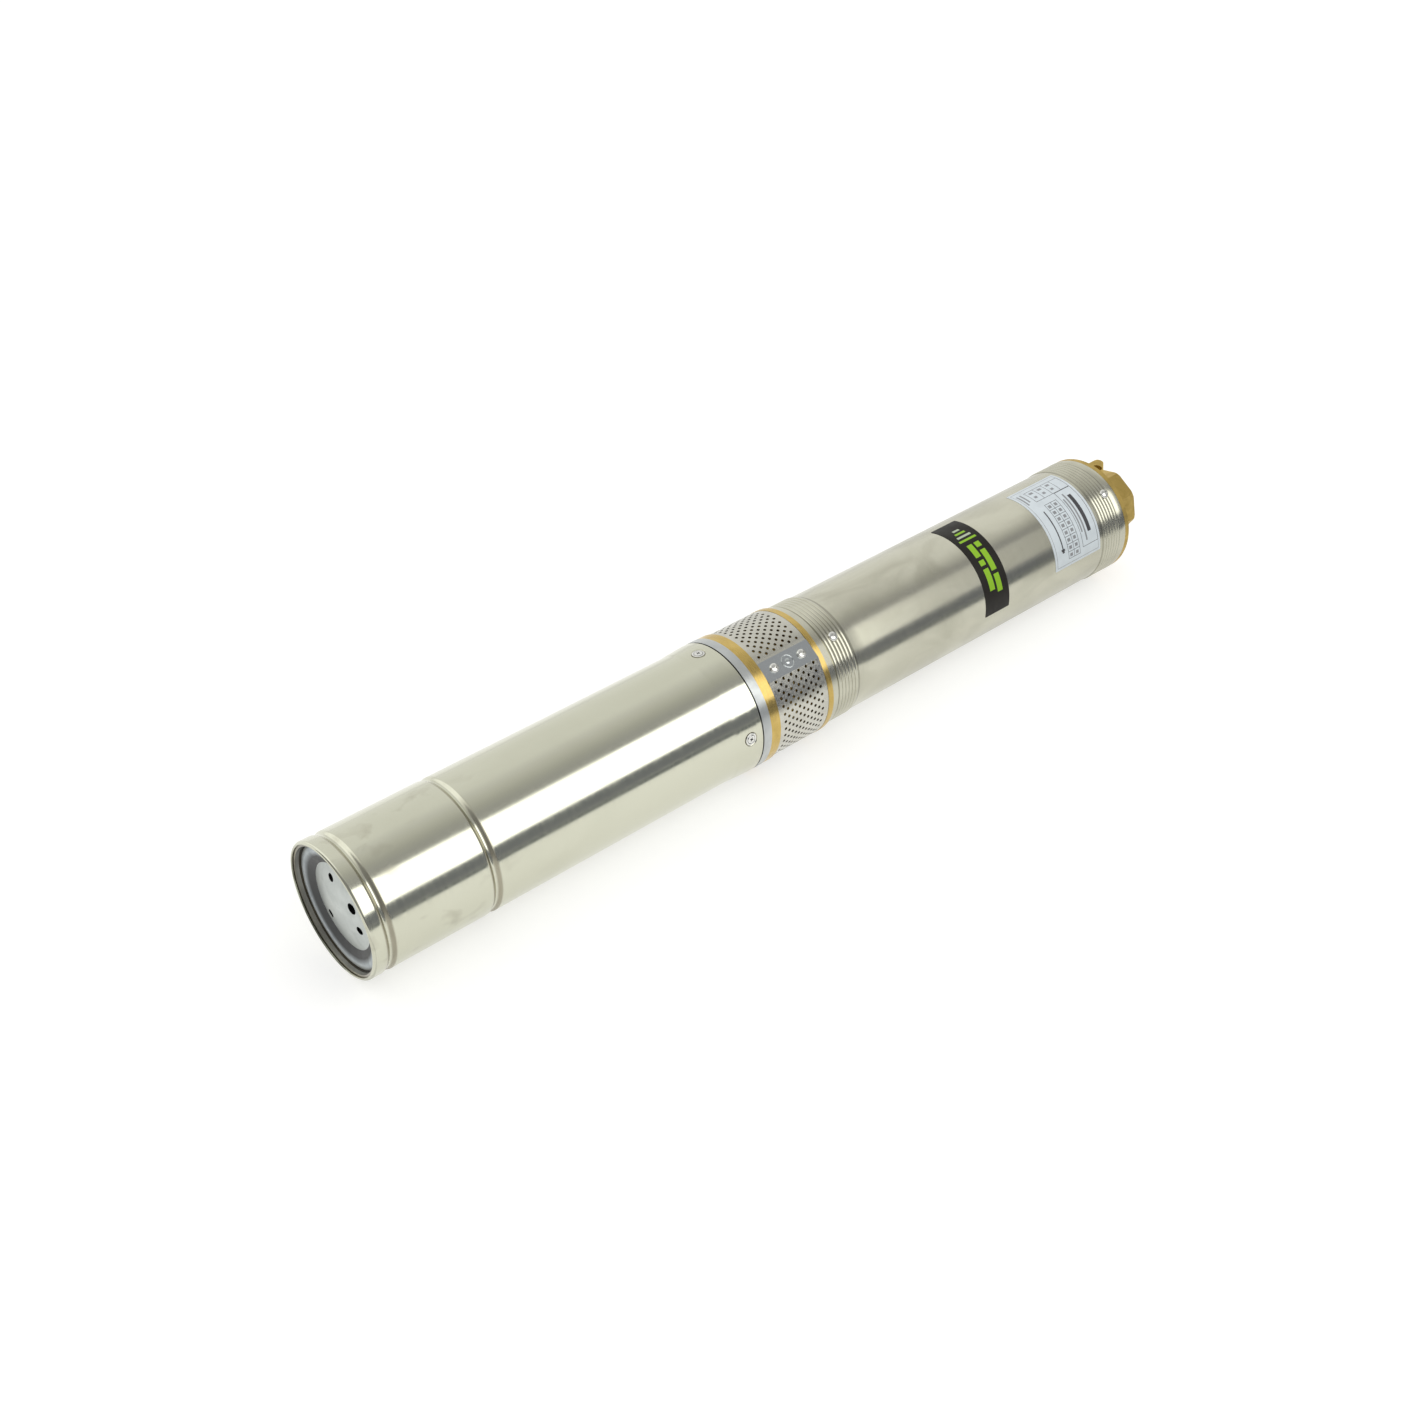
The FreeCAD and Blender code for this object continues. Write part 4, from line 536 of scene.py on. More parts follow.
def cast_aluminium():
    """Cast aluminium; the bottom cover's cone is dark grey, and its joint with the shell dark brown."""
    clean = (0.49, 0.53, 0.55)
    shader = metal("cast_aluminium", clean, (0.41, 0.45, 0.47), 0.34, 0.12, 120.0, EVEN, 900.0, 0.4)
    along, angle = pump_place(shader.id_data)
    far = axis_distance(shader.id_data)
    cover = calc("LESS_THAN", along, COVER_DEPTH)
    dark_cone = calc("MULTIPLY", spread(far, DARK_CONE_END, DARK_CONE_FULL), cover)
    tint(shader, dark_cone, (0.045, 0.047, 0.047))
    tint(shader, calc("MULTIPLY", calc("GREATER_THAN", far, RIDGE_FOOT), cover), (0.06, 0.052, 0.038))
    set_input(shader, "Metallic", calc("MULTIPLY_ADD", dark_cone, -0.75, 1.0))


def cover_plate():
    """Vent plate, with painted shade on the walls of its holes."""
    clean = (0.56, 0.59, 0.57)
    shader = metal("cover_plate", clean, (0.50, 0.53, 0.51), 0.36, 0.1, 90.0, EVEN, 700.0, 0.3)
    facing = calc("ABSOLUTE", coordinates(shader.id_data, "Normal")[0])
    # painted shade where the surface doesn't face along the pump: the hole walls
    tint(shader, spread(facing, 0.88, 0.7, 0.0, 0.92), (0.03, 0.03, 0.03))


def turned_aluminium():
    """Turned ring beside the strainer, dark in the joint against the shell."""
    clean = (0.55, 0.57, 0.56)
    shader = metal("turned_aluminium", clean, (0.49, 0.51, 0.51), 0.32, 0.1, 70.0, RINGS, 400.0, 0.3)
    along, angle = pump_place(shader.id_data)
    tint(shader, inside(along, SHELL_END - SEAM_WIDTH, SHELL_END + SEAM_WIDTH), (0.03, 0.03, 0.03))


def screw_steel():
    """Bright screws, with painted shade in the groove ring of a countersunk head and in its cross recess."""
    clean = (0.76, 0.76, 0.73)
    shader = metal("screw_steel", clean, (0.66, 0.66, 0.63), 0.12, 0.06, 200.0, EVEN, 900.0, 0.15)
    far = shell_screw_distance(*pump_place(shader.id_data))
    recess = calc("LESS_THAN", axis_distance(shader.id_data), FLARE_RADIUS - 0.1)
    recess = calc("MULTIPLY", recess, calc("LESS_THAN", far, RECESS_REACH))
    # painted shade in the head's groove ring and in its cross recess
    dark = calc("MAXIMUM", inside(far, *HEAD_RING_SHADE), recess)
    tint(shader, calc("MULTIPLY", dark, 0.85), (0.03, 0.03, 0.025))


def strainer_steel():
    """Sheet of the strainer, satin where it is punched and smooth on its overlap."""
    clean = (0.60, 0.59, 0.53)
    shader = metal("strainer_steel", clean, (0.53, 0.52, 0.46), 0.20, 0.10, 60.0, EVEN, 500.0, 0.2)
    along, angle = pump_place(shader.id_data)
    strip = inside(angle, OVERLAP_START, OVERLAP_END)
    strip = calc("MULTIPLY", strip, inside(along, STRAINER_START - 1.0, STRAINER_END + 1.0))
    tint(shader, strip, (0.55, 0.58, 0.58))
    gloss = shader.inputs["Roughness"].links[0].from_socket
    set_input(shader, "Roughness", calc("MULTIPLY", gloss, calc("MULTIPLY_ADD", strip, -0.5, 1.0)))


def plastic(name, colour, roughness, grain_scale=400.0):
    """Plain plastic or rubber with a fine grain."""
    shader = new_material(name, colour, roughness, 0.0)
    grain = noise(shader.id_data, grain_scale)
    darker = tuple(channel * 0.85 for channel in colour)
    set_input(shader, "Base Color", mix_colour(spread(grain, 0.3, 0.7), colour, darker))
    bump(shader, grain, 0.2, 0.0001)


def arc(angle):
    """Arc length on the pump tube, in millimetres, of an angle in degrees."""
    return math.radians(angle) * TUBE_RADIUS


def printed(name, ground, roughness, specular, boxes):
    """Label film with plain printed boxes: two limits along the pump, two of arc length, and an ink."""
    shader = new_material(name, ground, roughness, 0.0)
    set_input(shader, "Specular IOR Level", specular)
    along, angle = pump_place(shader.id_data)
    across = calc("MULTIPLY", from_below(angle), arc(1.0))
    scuffs = spread(noise(shader.id_data, 150.0), 0.35, 0.7)
    colour = mix_colour(scuffs, ground, tuple(channel * 0.92 for channel in ground))
    for low, high, first, last, ink in boxes:
        mask = calc("MULTIPLY", inside(along, low, high), inside(across, first, last))
        colour = mix_colour(mask, colour, ink)
    set_input(shader, "Base Color", colour)
    set_input(shader, "Roughness", spread(scuffs, 0.0, 1.0, roughness, roughness + 0.12))


def band_label():
    """Dark label with plain green and pale bars, some along it and some across it."""
    green = (0.26, 0.50, 0.02)
    pale = (0.45, 0.52, 0.38)
    middle = FLANGE - 148.8
    boxes = []
    for index, half in enumerate((3.4, 5.2, 7.0, 8.8)):
        start = arc(86.0) + index * 4.2
        boxes.append((middle - half, middle + half, start, start + 2.0, (pale, green)[index % 2]))
    for start, end in ((109.0, 124.0), (127.5, 133.0), (136.5, 158.0)):
        boxes.append((middle - 6.4, middle - 1.1, arc(start), arc(end), green))
    for start, end in ((109.0, 115.0), (118.5, 141.0), (144.5, 162.0)):
        boxes.append((middle + 1.1, middle + 6.4, arc(start), arc(end), green))
    printed("black_label", (0.015, 0.013, 0.010), 0.38, 0.2, boxes)


def frame_lines(low, high, first, last, ink):
    """Four thin boxes round a box."""
    return [
        (low, low + LABEL_LINE, first, last, ink),
        (high - LABEL_LINE, high, first, last, ink),
        (low, high, first, first + LABEL_LINE, ink),
        (low, high, last - LABEL_LINE, last, ink),
    ]


def rating_label():
    """Pale label with a frame, title bars, a plain table and an arrow for the way of turning."""
    ink = (0.05, 0.05, 0.055)
    grey = (0.26, 0.27, 0.28)
    table = (15.5, 29.0, 108.4, 168.0)
    small = (12.6, 50.4, 84.0, 101.5)
    frames = [(2.2, 50.4, 78.5, 172.6, grey), (32.5, 50.4, 101.5, 163.5, ink), (*table, ink), (*small, ink)]
    title = [(40.8, 44.6, 110.0, 151.0, ink), (37.2, 38.8, 106.5, 158.5, grey)]
    title += [(34.2, 35.6, 112.0, 149.0, grey)]
    notes = [(4.0, 5.6, 84.0, 101.0, grey), (7.4, 9.0, 84.0, 98.0, grey)]
    arrow = [(9.8, 11.0, 114.0, 157.0, ink), (8.4, 12.4, 155.5, 157.5, ink), (9.2, 11.6, 157.5, 159.5, ink)]
    columns = [(22.0, 22.0 + LABEL_LINE, *table[2:], ink)]
    for column in range(1, 4):
        along = small[0] + column * (small[1] - small[0]) / 4
        columns.append((along, along + LABEL_LINE, *small[2:], ink))
        columns.append((along - 6.6, along - 2.6, 87.0, 90.0, grey))
        columns.append((along - 6.6, along - 3.6, 94.0, 97.0, grey))
    boxes = []
    for low, high, first, last, colour in frames:
        boxes += frame_lines(low, high, arc(first), arc(last), colour)
    for low, high, first, last, colour in title + notes + arrow + columns:
        boxes.append((low, high, arc(first), arc(last), colour))
    for row in range(TABLE_ROWS):
        across = arc(table[2] + (table[3] - table[2]) * row / TABLE_ROWS)
        boxes.append((table[0], table[1], across, across + LABEL_LINE, ink))
        boxes += [(along, along + width, across + 1.9, across + 4.6, grey) for along, width in TABLE_MARKS]
    start = FLANGE - 82.5
    boxes = [(start + low, start + high, *others) for low, high, *others in boxes]
    printed("white_label", (0.66, 0.72, 0.75), 0.28, 0.5, boxes)


def make_materials():
    steels = (polished_steel, satin_steel, strainer_steel, screw_steel)
    for finish in (*steels, cast_aluminium, turned_aluminium, cover_plate, band_label, rating_label):
        finish()
    for settings in PLAIN_METALS:
        metal(*settings)
    for settings in PLASTICS:
        plastic(*settings)


def dress_cad():
    """Give every CAD node the material of its slot."""
    for part in frame["record"]["subparts"]:
        for slot in nodes[part["node"]].material_slots:
            slot.material = materials[part["material_slot"]]


# Pieces built here in place of coarser CAD meshes


def stand_for(node, thing, slot):
    """Show an object of the pump's body in place of a CAD node."""
    thing.data.materials.append(materials[slot])
    bpy.context.scene.collection.objects.link(thing)
    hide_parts(node)
    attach(thing, "pump_body")


def piece(name, corners, faces, node, slot):
    """Object from corners and faces, smooth apart from its sharp edges, that stands for a CAD node."""
    mesh = bpy.data.meshes.new(name)
    mesh.from_pydata([tuple(corner) for corner in corners], [], faces)
    work = bmesh.new()
    work.from_mesh(mesh)
    bmesh.ops.remove_doubles(work, verts=work.verts, dist=WELD * MM)
    bmesh.ops.recalc_face_normals(work, faces=work.faces)
    work.to_mesh(mesh)
    work.free()
    mesh.shade_smooth()
    mesh.set_sharp_from_angle(angle=math.radians(35))
    stand_for(node, bpy.data.objects.new(name, mesh), slot)


def local_place(along, radius, angle, far, turn):
    """Point at a distance and turn from the radial line through a place of the pump."""
    tilt = math.radians(angle)
    across = far * math.sin(turn)
    return Vector((
        MOTOR_FOOT + (along + far * math.cos(turn)) * MM,
        (radius * math.cos(tilt) - across * math.sin(tilt)) * MM,
        AXIS_HEIGHT + (radius * math.sin(tilt) + across * math.cos(tilt)) * MM,
    ))


def cross_edge(turn):
    """Distance from a screw's middle to the edge of its cross recess, in a direction."""
    quarter = math.pi / 2
    apart = abs((turn + quarter / 2) % quarter - quarter / 2)
    if math.sin(apart) * RECESS_REACH <= RECESS_WIDTH / 2:
        return RECESS_REACH
    return RECESS_WIDTH / 2 / math.sin(apart)


def screw_head(corners, faces, profile, top, along, radius, angle, turned):
    """Screw head with a cross recess, from its outer profile of (distance, height) and its top."""
    first = len(corners)
    count = len(profile) + 4
    for step in range(SCREW_STEPS):
        turn = 2 * math.pi * step / SCREW_STEPS
        edge = cross_edge(turn + math.radians(turned))
        ring = [(0.0, top - RECESS_DEPTH), (edge * 0.6, top - RECESS_DEPTH)]
        ring += [(edge, top - 0.1), (edge + 0.08, top - 0.01)]
        ring += profile
        corners += [local_place(along, radius + height, angle, far, turn) for far, height in ring]
        row = first + step * count
        after = first + (step + 1) % SCREW_STEPS * count
        for index in range(count - 1):
            faces.append((row + index, row + index + 1, after + index + 1, after + index))
    base = [first + step * count + count - 1 for step in range(SCREW_STEPS)]
    faces.append(tuple(base))


def local_lathe(profile, along, angle, base_radius, count):
    """Corners and faces of a (distance, height) profile, turned on a surface with its radius by angle."""
    corners = []
    faces = []
    for step in range(count):
        turn = 2 * math.pi * step / count
        following = (step + 1) % count
        for index, (far, height) in enumerate(profile):
            across = angle + math.degrees(far * math.sin(turn) / STRAINER_RADIUS)
            corners.append(place(along + far * math.cos(turn), base_radius(across) + height, across))
            if index + 1 < len(profile):
                row = step * len(profile)
                next_row = following * len(profile)
                faces.append((row + index, row + index + 1, next_row + index + 1, next_row + index))
    return corners, faces


def lathe(outline, angles, radius_change=None):
    """Corners and faces of a closed outline of (along, radius) turned through a ring of angles."""
    corners = []
    faces = []
    count = len(outline)
    for turn, angle in enumerate(angles):
        following = (turn + 1) % len(angles)
        for index, (along, radius) in enumerate(outline):
            change = radius_change(along, radius, angle) if radius_change else 0.0
            corners.append(place(along, radius + change, angle))
            other = (index + 1) % count
            faces.append((
                turn * count + index,
                turn * count + other,
                following * count + other,
                following * count + index,
            ))
    return corners, faces


def even_angles(count):
    return [360.0 * index / count for index in range(count)]


def groove_change(along):
    """Depth of the rolled grooves at a place along the shell."""
    for centre in GROOVE_CENTRES:
        apart = abs(along - centre) / (GROOVE_WIDTH / 2)
        if apart < 1.0:
            return -GROOVE_DEPTH * (1 + math.cos(math.pi * apart)) / 2
    return 0.0


def flare_change(along):
    """Rise of the shell where it is drawn over the upper bracket."""
    if along <= FLARE_START:
        return 0.0
    step = (along - FLARE_START) / FLARE_STEP_LENGTH
    if step < 1.0:
        return FLARE_STEP * (1 - math.cos(math.pi * step)) / 2
    taper = min(1.0, (along - FLARE_START - FLARE_STEP_LENGTH) / FLARE_TAPER)
    return FLARE_STEP + (FLARE_RADIUS - SHELL_RADIUS - FLARE_STEP) * taper


def stations(start, end, step):
    count = max(1, math.ceil((end - start) / step))
    return [start + (end - start) * index / count for index in range(count + 1)]


def shell_stations():
    """Places along the shell, close together where its radius changes."""
    half = GROOVE_WIDTH / 2
    first, second = GROOVE_CENTRES
    found = stations(RIM_ROLL, first - half, 4.0)
    found += stations(first - half, first + half, 0.4)[1:]
    found += stations(first + half, second - half, 12.0)[1:]
    found += stations(second - half, second + half, 0.4)[1:]
    found += stations(second + half, FLARE_START, 15.0)[1:]
    found += stations(FLARE_START, FLARE_START + FLARE_STEP_LENGTH, 0.5)[1:]
    found += stations(FLARE_START + FLARE_STEP_LENGTH, SHELL_END - SHELL_END_EDGE, 0.6)[1:]
    return found


def shell_angles():
    """Even angles, with more of them across each screw dimple."""
    found = set(even_angles(360))
    for centre in SHELL_SCREW_ANGLES:
        for index in range(-16, 17):
            found.add((centre + index * 0.5) % 360.0)
    return sorted(found)


def screw_dimple(along, radius, angle):
    """Pressed dimple round each countersunk screw."""
    if abs(along - SHELL_SCREW_PLACE) > DIMPLE_RADIUS:
        return 0.0
    for centre in SHELL_SCREW_ANGLES:
        apart = (angle - centre + 180.0) % 360.0 - 180.0
        far = math.hypot(along - SHELL_SCREW_PLACE, math.radians(apart) * SHELL_RADIUS)
        if far < DIMPLE_RADIUS:
            share = min(1.0, (DIMPLE_RADIUS - far) / (DIMPLE_RADIUS - DIMPLE_FLOOR))
            return -DIMPLE_DEPTH * (1 - math.cos(math.pi * share)) / 2
    return 0.0


def rolled_rim():
    """Section of the shell's end, which is rolled inwards and ends in a rounded tip."""
    middle = SHELL_RADIUS - RIM_ROLL
    small = RIM_ROLL - SHELL_WALL
    points = []
    for index in range(1, 7):
        turn = math.pi / 2 * index / 7
        points.append((RIM_ROLL - small * math.sin(turn), middle + small * math.cos(turn)))
    points += [(SHELL_WALL, middle + RIM_TIP), (SHELL_WALL - RIM_TIP, middle)]
    points += [(RIM_TIP, middle), (0.0, middle + RIM_TIP)]
    for index in range(1, 12):
        turn = math.pi / 2 * index / 12
        points.append((RIM_ROLL - RIM_ROLL * math.cos(turn), middle + RIM_ROLL * math.sin(turn)))
    return points


def build_motor_shell():
    outer = [(along, SHELL_RADIUS + groove_change(along) + flare_change(along)) for along in shell_stations()]
    rim = rolled_rim()
    end = [(SHELL_END, FLARE_RADIUS - SHELL_END_EDGE), (SHELL_END, FLARE_RADIUS - SHELL_WALL)]
    inner = [(along, radius - SHELL_WALL) for along, radius in reversed(outer)]
    outline = rim + outer + end + inner
    corners, faces = lathe(outline, shell_angles(), screw_dimple)
    piece("motor_shell_skin", corners, faces, "motor_shell", "polished_steel")


def ridge_outline(start):
    """Rounded ridges of one rolled thread zone."""
    points = []
    bend = (CREST_PITCH ** 2 / 4 + CREST ** 2) / (2 * CREST)
    for index in range(CREST_COUNT):
        centre = start + (index + 0.5) * CREST_PITCH
        for step in range(-4, 5):
            side = step / 4 * CREST_PITCH / 2 * 0.985
            rise = math.sqrt(bend ** 2 - side ** 2) - (bend - CREST)
            points.append((centre + side, TUBE_RADIUS + rise))
    return points


def build_pump_tube():
    lower_end = LOWER_THREAD + THREAD_LENGTH
    band = TUBE_RADIUS + LOWER_BAND_RISE
    top_band = TUBE_RADIUS + UPPER_BAND_RISE
    chamfer = 0.2
    outline = [(TUBE_FOOT, TUBE_RADIUS - TUBE_WALL), (TUBE_FOOT, band - chamfer), (TUBE_FOOT + chamfer, band)]
    outline += [(TUBE_FOOT + LOWER_BAND - chamfer, band - LOWER_BAND_EDGE + chamfer / 2)]
    outline += [(TUBE_FOOT + LOWER_BAND, band - LOWER_BAND_EDGE - chamfer / 2)]
    outline += ridge_outline(LOWER_THREAD)
    outline += [(along, TUBE_RADIUS) for along in stations(lower_end + chamfer, UPPER_THREAD - chamfer, 12.0)]
    outline += ridge_outline(UPPER_THREAD)
    outline += [(FLANGE - UPPER_BAND, top_band - chamfer / 2), (FLANGE - UPPER_BAND + chamfer, top_band)]
    outline += [(FLANGE - chamfer, top_band), (FLANGE, top_band - chamfer), (FLANGE, TUBE_RADIUS - TUBE_WALL)]
    corners, faces = lathe(outline, even_angles(240))
    piece("pump_tube_skin", corners, faces, "pump_tube", "satin_steel")


def sheet_radius(radius, angle):
    """Radius of the sheet at an angle: it sinks before its overlap and stands proud just after it."""
    if SINK_START < angle < OVERLAP_START:
        return radius - SINK_DEPTH * ((angle - SINK_START) / (OVERLAP_START - SINK_START)) ** 2
    if OVERLAP_END <= angle < RISE_END:
        share = (RISE_END - angle) / (RISE_END - OVERLAP_END)
        return radius + overlap_height(OVERLAP_END) * share ** RISE_POWER
    return radius


def sheet_cell(low, high, middle, radius):
    """Border and hole points of one strainer cell, as (along, angle) pairs that lie opposite each other."""
    half = CELL_STEPS // 2
    step = HOLE_PITCH / CELL_STEPS
    centre = (low + high) / 2
    border = [(middle + index * step, high) for index in range(0, -half - 1, -1)]
    border.append((middle - half * step, centre))
    border += [(middle + index * step, low) for index in range(-half, half + 1)]
    border.append((middle + half * step, centre))
    border += [(middle + index * step, high) for index in range(half, 0, -1)]
    rim = []
    for index in range(HOLE_STEPS):
        turn = math.pi / 2 + 2 * math.pi * index / HOLE_STEPS
        across = math.degrees(HOLE_RADIUS * math.sin(turn) / radius)
        rim.append((middle + HOLE_RADIUS * math.cos(turn), centre + across))
    return border, rim


def perforated_cell(corners, faces, low, high, middle):
    """One hole of the strainer with the sheet round it, outside, inside and hole wall."""
    loops = []
    for radius in (STRAINER_RADIUS, STRAINER_RADIUS - STRAINER_WALL):
        for loop in sheet_cell(low, high, middle, STRAINER_RADIUS):
            loops.append(len(corners))
            corners += [place(along, sheet_radius(radius, angle), angle) for along, angle in loop]
    outer_border, outer_rim, inner_border, inner_rim = loops
    for index in range(HOLE_STEPS):
        after = (index + 1) % HOLE_STEPS
        faces.append((outer_border + index, outer_rim + index, outer_rim + after, outer_border + after))
        faces.append((inner_border + index, inner_border + after, inner_rim + after, inner_rim + index))
        faces.append((outer_rim + index, inner_rim + index, inner_rim + after, outer_rim + after))


def plain_cell(corners, faces, low, high, start, end):
    """Piece of the strainer's sheet without a hole."""
    for radius in (STRAINER_RADIUS, STRAINER_RADIUS - STRAINER_WALL):
        first = len(corners)
        for along, angle in ((start, low), (end, low), (end, high), (start, high)):
            corners.append(place(along, sheet_radius(radius, angle), angle))
        faces.append((first, first + 1, first + 2, first + 3))


def sheet_end(corners, faces, low, high, along):
    """Edge of the strainer's sheet at one of its ends."""
    first = len(corners)
    for angle in (low, high):
        for radius in (STRAINER_RADIUS, STRAINER_RADIUS - STRAINER_WALL):
            corners.append(place(along, sheet_radius(radius, angle), angle))
    faces.append((first, first + 1, first + 3, first + 2))


def strainer_row(corners, faces, index):
    """One row of the strainer, staggered against the next one."""
    pitch = 360.0 / STRAINER_ROWS
    centre = FIRST_ROW_ANGLE + index * pitch
    if centre > 360.0:
        centre -= 360.0
    low = centre - pitch / 2
    high = centre + pitch / 2
    step = HOLE_PITCH / CELL_STEPS
    holes = HOLES_IN_ROW - index % 2
    if index >= STRAINER_ROWS - STRAINER_BLANK_ROWS:
        holes = 0
    first = STRAINER_MIDDLE - (holes - 1) * HOLE_PITCH / 2
    for hole in range(holes):
        perforated_cell(corners, faces, low, high, first + hole * HOLE_PITCH)
    widest = STRAINER_MIDDLE + HOLES_IN_ROW * HOLE_PITCH / 2
    blank_steps = (HOLES_IN_ROW - holes) * CELL_STEPS // 2
    edges = [(widest, STRAINER_END)]
    edges += [(widest - (count + 1) * step, widest - count * step) for count in range(blank_steps)]
    for part_low, part_high in ((low, centre), (centre, high)):
        for start, end in edges:
            mirrored = (2 * STRAINER_MIDDLE - end, 2 * STRAINER_MIDDLE - start)
            plain_cell(corners, faces, part_low, part_high, start, end)
            plain_cell(corners, faces, part_low, part_high, *mirrored)
        sheet_end(corners, faces, part_low, part_high, STRAINER_START)
        sheet_end(corners, faces, part_low, part_high, STRAINER_END)


def overlap_height(angle):
    """Rise of the sheet's flat free end over the strainer."""
    return OVERLAP_DISTANCE / math.cos(math.radians(angle - OVERLAP_MIDDLE)) - STRAINER_RADIUS


def overlap_radius(angle):
    return STRAINER_RADIUS + overlap_height(angle)


def strainer_overlap(corners, faces):
    """Free end of the rolled sheet, which lies over its start."""
    chamfer = 0.12
    turn = math.degrees(chamfer / STRAINER_RADIUS)
    section = [(OVERLAP_START, -STRAINER_WALL), (OVERLAP_START, overlap_height(OVERLAP_START) - chamfer)]
    for angle in stations(OVERLAP_START + turn, OVERLAP_END, 1.5):
        section.append((angle, overlap_height(angle)))
    section.append((OVERLAP_END, -STRAINER_WALL))
    first = len(corners)
    for along in (STRAINER_START, STRAINER_END):
        corners += [place(along, STRAINER_RADIUS + height, angle) for angle, height in section]
    count = len(section)
    for index in range(count):
        after = (index + 1) % count
        faces.append((first + index, first + after, first + count + after, first + count + index))
    faces.append(tuple(range(first, first + count)))
    faces.append(tuple(range(first + count, first + 2 * count)))


def strainer_stamp(corners, faces):
    """Plain embossed ring and round boss between the two screws of the seam."""
    ring = []
    for step in range(9):
        turn = math.pi * step / 8
        ring.append((STAMP_RADIUS - STAMP_LINE / 2 * (1 + math.cos(turn)), STAMP_RISE * math.sin(turn)))
    boss = []
    for step in range(9):
        turn = math.pi / 2 * step / 8
        boss.append((STAMP_BOSS * math.sin(turn), STAMP_RISE * math.cos(turn)))
    for profile in (ring, boss):
        found, rings = local_lathe(profile, STRAINER_MIDDLE, SEAM_ANGLE, overlap_radius, 48)
        first = len(corners)
        corners += found
        faces += [tuple(first + index for index in face) for face in rings]


def build_strainer():
    corners = []
    faces = []
    for index in range(STRAINER_ROWS):
        strainer_row(corners, faces, index)
    strainer_overlap(corners, faces)
    strainer_stamp(corners, faces)
    piece("inlet_strainer_sheet", corners, faces, "inlet_strainer", "strainer_steel")


def build_screws(name, node, heads):
    """Screws of one node, each with its profile, its top, its place, its seat radius and its angle."""
    corners = []
    faces = []
    for index, (profile, top, along, radius, angle) in enumerate(heads):
        screw_head(corners, faces, profile, top, along, radius, angle, 25.0 + 37.0 * index)
    piece(name, corners, faces, node, "screw_steel")


def build_all_screws():
    surface = SHELL_RADIUS + flare_change(SHELL_SCREW_PLACE)
    heads = [(FLUSH_PROFILE, FLUSH_TOP, SHELL_SCREW_PLACE, surface, angle) for angle in SHELL_SCREW_ANGLES]
    build_screws("shell_screw_heads", "shell_screws", heads)
    heads = [(PAN_PROFILE, PAN_TOP, along, PAN_SEAM_RADIUS, SEAM_ANGLE) for along in PAN_SEAM_PLACES]
    build_screws("strainer_screw_heads", "strainer_screws", heads)
    heads = [(PAN_PROFILE, PAN_TOP, along, PAN_LOCK_RADIUS, PAN_LOCK_ANGLE) for along in PAN_LOCK_PLACES]
    build_screws("lock_screw_heads", "tube_lock_screws", heads)


def build_valve_spring():
    """Copy of the valve's spring, shown in place of its CAD node."""
    node = nodes["valve_spring"]
    coil = bpy.data.objects.new("valve_spring_coil", node.data.copy())
    coil.data.materials.clear()
    coil.matrix_world = node.matrix_world
    stand_for("valve_spring", coil, "spring_steel")
    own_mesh(coil)


# Studio


def emission(name, colour, strength):
    """Material that only glows."""
    material = bpy.data.materials.new(name)
    material.use_nodes = True
    tree = material.node_tree
    tree.nodes.clear()
    add_node(tree, "ShaderNodeOutputMaterial", {0: glow(tree, colour, strength)})
    return material


def colour_ramp(value, span, stops):
    """Colour that follows a value through its stops."""
    low, high = span
    share = calc("DIVIDE", calc("SUBTRACT", value, low), high - low)
    node = add_node(value.id_data, "ShaderNodeValToRGB", {0: share})
    elements = node.color_ramp.elements
    while len(elements) < len(stops):
        elements.new(1.0)
    for element, (stop, colour) in zip(elements, stops):
        element.position = (stop - low) / (high - low)
        element.color = (*colour, 1.0)
    return node.outputs[0]


def tent_material():
    """Tent tones: pale above, falling to grey, then a bright box in front and a dark strip under it.

    The tones change from the near part to the far part, and a factor along the tent lightens or dims them.
    """
    material = emission("tent_tones", WHITE, 1.0)
    tree = material.node_tree
    along, angle = pump_place(tree)
    angle = from_below(angle)
    metres = calc("MULTIPLY", along, MM)
    end, near, far = [colour_ramp(angle, TENT_SPAN, tones) for tones in (END_TONES, NEAR_TONES, FAR_TONES)]
    tones = mix_colour(spread(metres, END_TONES_END, TONES_NEAR_START), end, near)
    tones = mix_colour(spread(metres, TONES_NEAR_END, TONES_FAR_START), tones, far)
    dim = colour_ramp(metres, DIM_SPAN, [(x, (tone, tone, tone)) for x, tone in DIM_STOPS])
    tones = mix_colour(1.0, tones, dim, "MULTIPLY")
    box_stops = [(x, tuple(channel * fade for channel in BOX_TONE)) for x, fade in BOX_FADE]
    box = colour_ramp(metres, BOX_SPAN, box_stops)
    lit = mix_colour(inside(angle, BOX_START, BOX_END), tones, box)
    set_input(tree.nodes["Emission"], "Color", lit)
    return material


def stage_mesh(name, corners, faces, shades):
    """Object of the studio, which isn't part of the pump."""
    mesh = bpy.data.meshes.new(name)
    mesh.from_pydata([tuple(corner) for corner in corners], [], faces)
    for shade in shades:
        mesh.materials.append(shade)
    thing = bpy.data.objects.new(name, mesh)
    bpy.context.scene.collection.objects.link(thing)
    return thing


